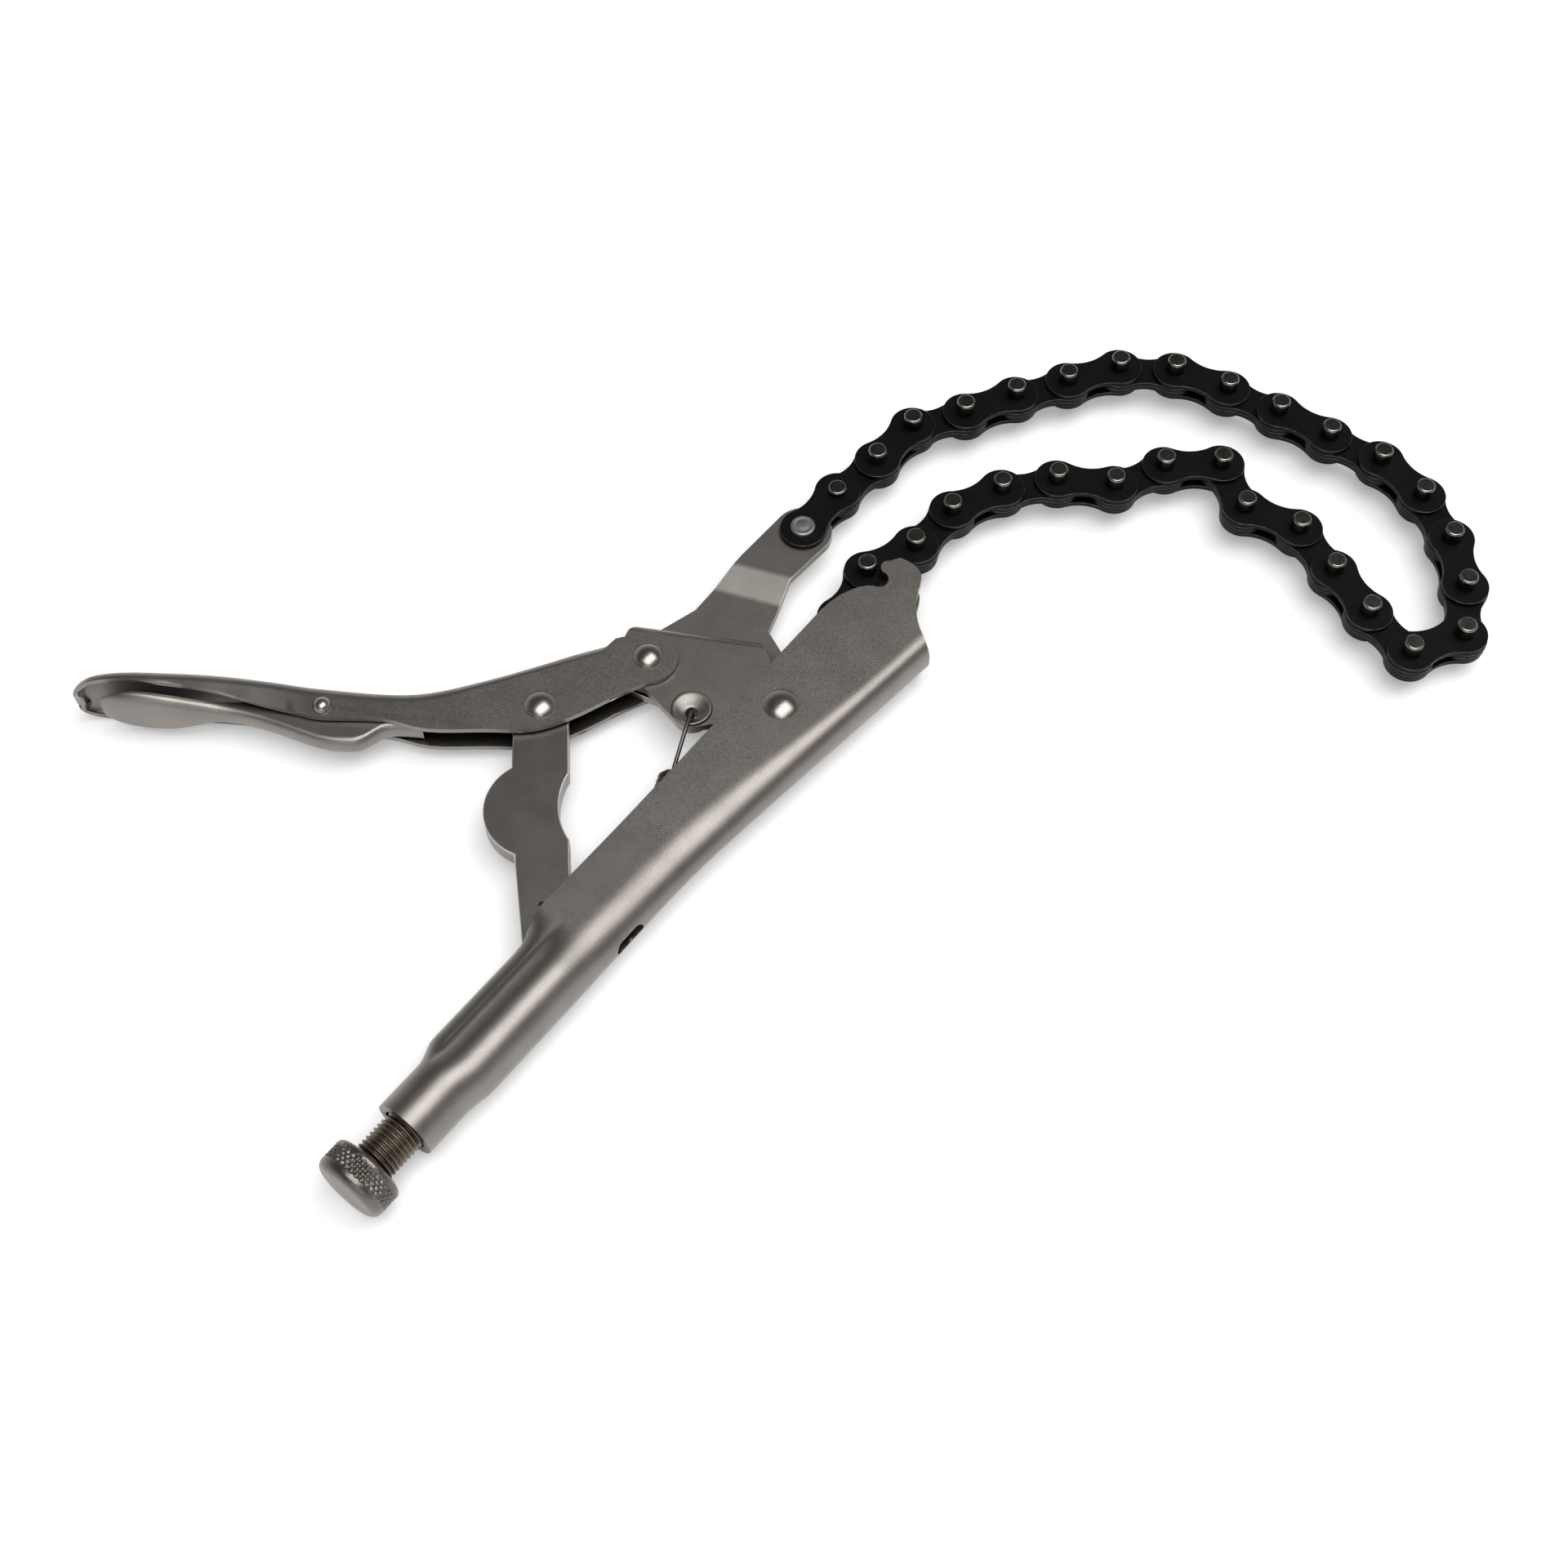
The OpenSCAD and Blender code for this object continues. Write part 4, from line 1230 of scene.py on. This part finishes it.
@dataclass
class PinChain:
    """The black chain: plates in pairs, and pins that stand out above the upper plates."""

    links: int = 30

    def build(self) -> list[bpy.types.Object]:
        """Builds the plates and pins of every link.

        Returns:
            The chain's pieces, from the jaw to the free end.
        """
        made = []
        for k in range(1, self.links + 1):
            kind = "outer_plates" if k % 2 else "inner_plates"
            made.append(Stamping(f"{kind}_{k}", Edge.CRISP, CHAIN_BLACK, CHAIN_EDGE).build())
            if k % 2:
                made.append(Stamping(f"link_pins_{k}", Edge.CRISP, PIN_GUNMETAL, PIN_RIM).build())
        return made


@dataclass
class Studio:
    """The pale floor, the soft light and the camera at the photograph's angle."""

    target: tuple[float, float, float] = (-2.31, -18.07, 17.0)
    elevation_deg: float = 59.15
    distance: float = 576.0
    focal_px: float = 2795.0
    image_px: int = 1920
    floor: Colour = (0.8, 0.8, 0.8)
    floor_half: float = 6.0
    lift: float = 0.27
    room: tuple[float, float] = (0.6, 0.1)
    horizon: tuple[float, float] = (0.1, 0.62)
    key_watts: float = 50.0
    fill_watts: float = 7.0

    def build(self) -> None:
        """Sets the floor, world, lamps and camera."""
        self._floor()
        self._world()
        self._lamp(
            "overhead_softbox", place=(300, -300, 2000), aim=(0, -20, 0), size=(2600, 1500),
            watts=self.key_watts,
        )
        self._lamp(
            "front_fill", place=(-300, -2300, 1200), aim=(0, 0, 0), size=(2200, 600),
            watts=self.fill_watts,
        )
        self._camera()
        bpy.context.scene.view_settings.view_transform = "Standard"

    def _floor(self) -> None:
        """Lays a wide pale floor, lifted towards white where it is seen."""
        shape = bmesh.new()
        bmesh.ops.create_grid(shape, x_segments=8, y_segments=8, size=self.floor_half)
        piece = as_piece("floor", shape)
        made = bpy.data.materials.new("pale_floor")
        made.use_nodes = True
        tree = made.node_tree
        shader = tree.nodes["Principled BSDF"]
        shader.inputs["Base Color"].default_value = (*self.floor, 1)
        shader.inputs["Roughness"].default_value = 0.9
        shader.inputs["Specular IOR Level"].default_value = 0.0
        shader.inputs["Emission Color"].default_value = (1, 1, 1, 1)
        ray = tree.nodes.new("ShaderNodeLightPath").outputs
        seen = worked_out(tree, "MAXIMUM", ray["Is Camera Ray"], ray["Is Glossy Ray"])
        seen = worked_out(tree, "MAXIMUM", seen, ray["Is Transmission Ray"])
        lift = worked_out(tree, "MULTIPLY", seen, self.lift)
        tree.links.new(lift, shader.inputs["Emission Strength"])
        piece.data.materials.append(made)

    def _world(self) -> None:
        """Sets a soft room that is pale near the floor's edge and dim overhead."""
        world = bpy.data.worlds.new("soft_room")
        world.use_nodes = True
        tree = world.node_tree
        nodes, links = tree.nodes, tree.links
        back = nodes["Background"]
        back.inputs["Color"].default_value = (1, 1, 1, 1)
        way = nodes.new("ShaderNodeTexCoord")
        split = nodes.new("ShaderNodeSeparateXYZ")
        links.new(way.outputs["Generated"], split.inputs["Vector"])
        rise = banded(tree, split.outputs["Z"], self.horizon, self.room, "SMOOTHSTEP")
        links.new(rise, back.inputs["Strength"])
        bpy.context.scene.world = world

    @staticmethod
    def _lamp(
        name: str,
        place: tuple[float, float, float],
        aim: tuple[float, float, float],
        size: tuple[float, float],
        watts: float,
    ) -> None:
        """Hangs a soft rectangular lamp.

        Args:
            name: The lamp's name.
            place: Its middle, in millimetres.
            aim: The point that it faces, in millimetres.
            size: Its width and height, in millimetres.
            watts: Its power.
        """
        data = bpy.data.lights.new(name, "AREA")
        data.shape = "RECTANGLE"
        data.size, data.size_y = size[0] * MM, size[1] * MM
        data.energy = watts
        lamp = bpy.data.objects.new(name, data)
        lamp.location = Vector(place) * MM
        lamp.rotation_euler = (Vector(aim) - Vector(place)).to_track_quat("-Z", "Y").to_euler()
        bpy.context.scene.collection.objects.link(lamp)

    def _camera(self) -> None:
        """Sets the camera at the photograph's angle."""
        data = bpy.data.cameras.new("photo_camera")
        data.sensor_width = 36.0
        data.lens = self.focal_px / self.image_px * data.sensor_width
        data.clip_start, data.clip_end = 0.01, 50.0
        camera = bpy.data.objects.new("photo_camera", data)
        rise = math.radians(self.elevation_deg)
        aim = Vector(self.target) * MM
        camera.location = aim + self.distance * MM * Vector((0, -math.cos(rise), math.sin(rise)))
        camera.rotation_euler = (math.radians(90) - rise, 0, 0)
        bpy.context.scene.collection.objects.link(camera)
        bpy.context.scene.camera = camera


def main() -> None:
    """Sets up the studio and builds every sub-assembly in order."""
    logging.basicConfig(level=logging.INFO, format="%(message)s")
    Studio().build()
    for assembly in (Handle(), ScrewAndKnob(), Jaw(), HandLever(), Rivets(), ReturnSpring(), PinChain()):
        pieces = assembly.build()
        log.info("%s: %d pieces", type(assembly).__name__, len(pieces))


if __name__ == "__main__":
    main()
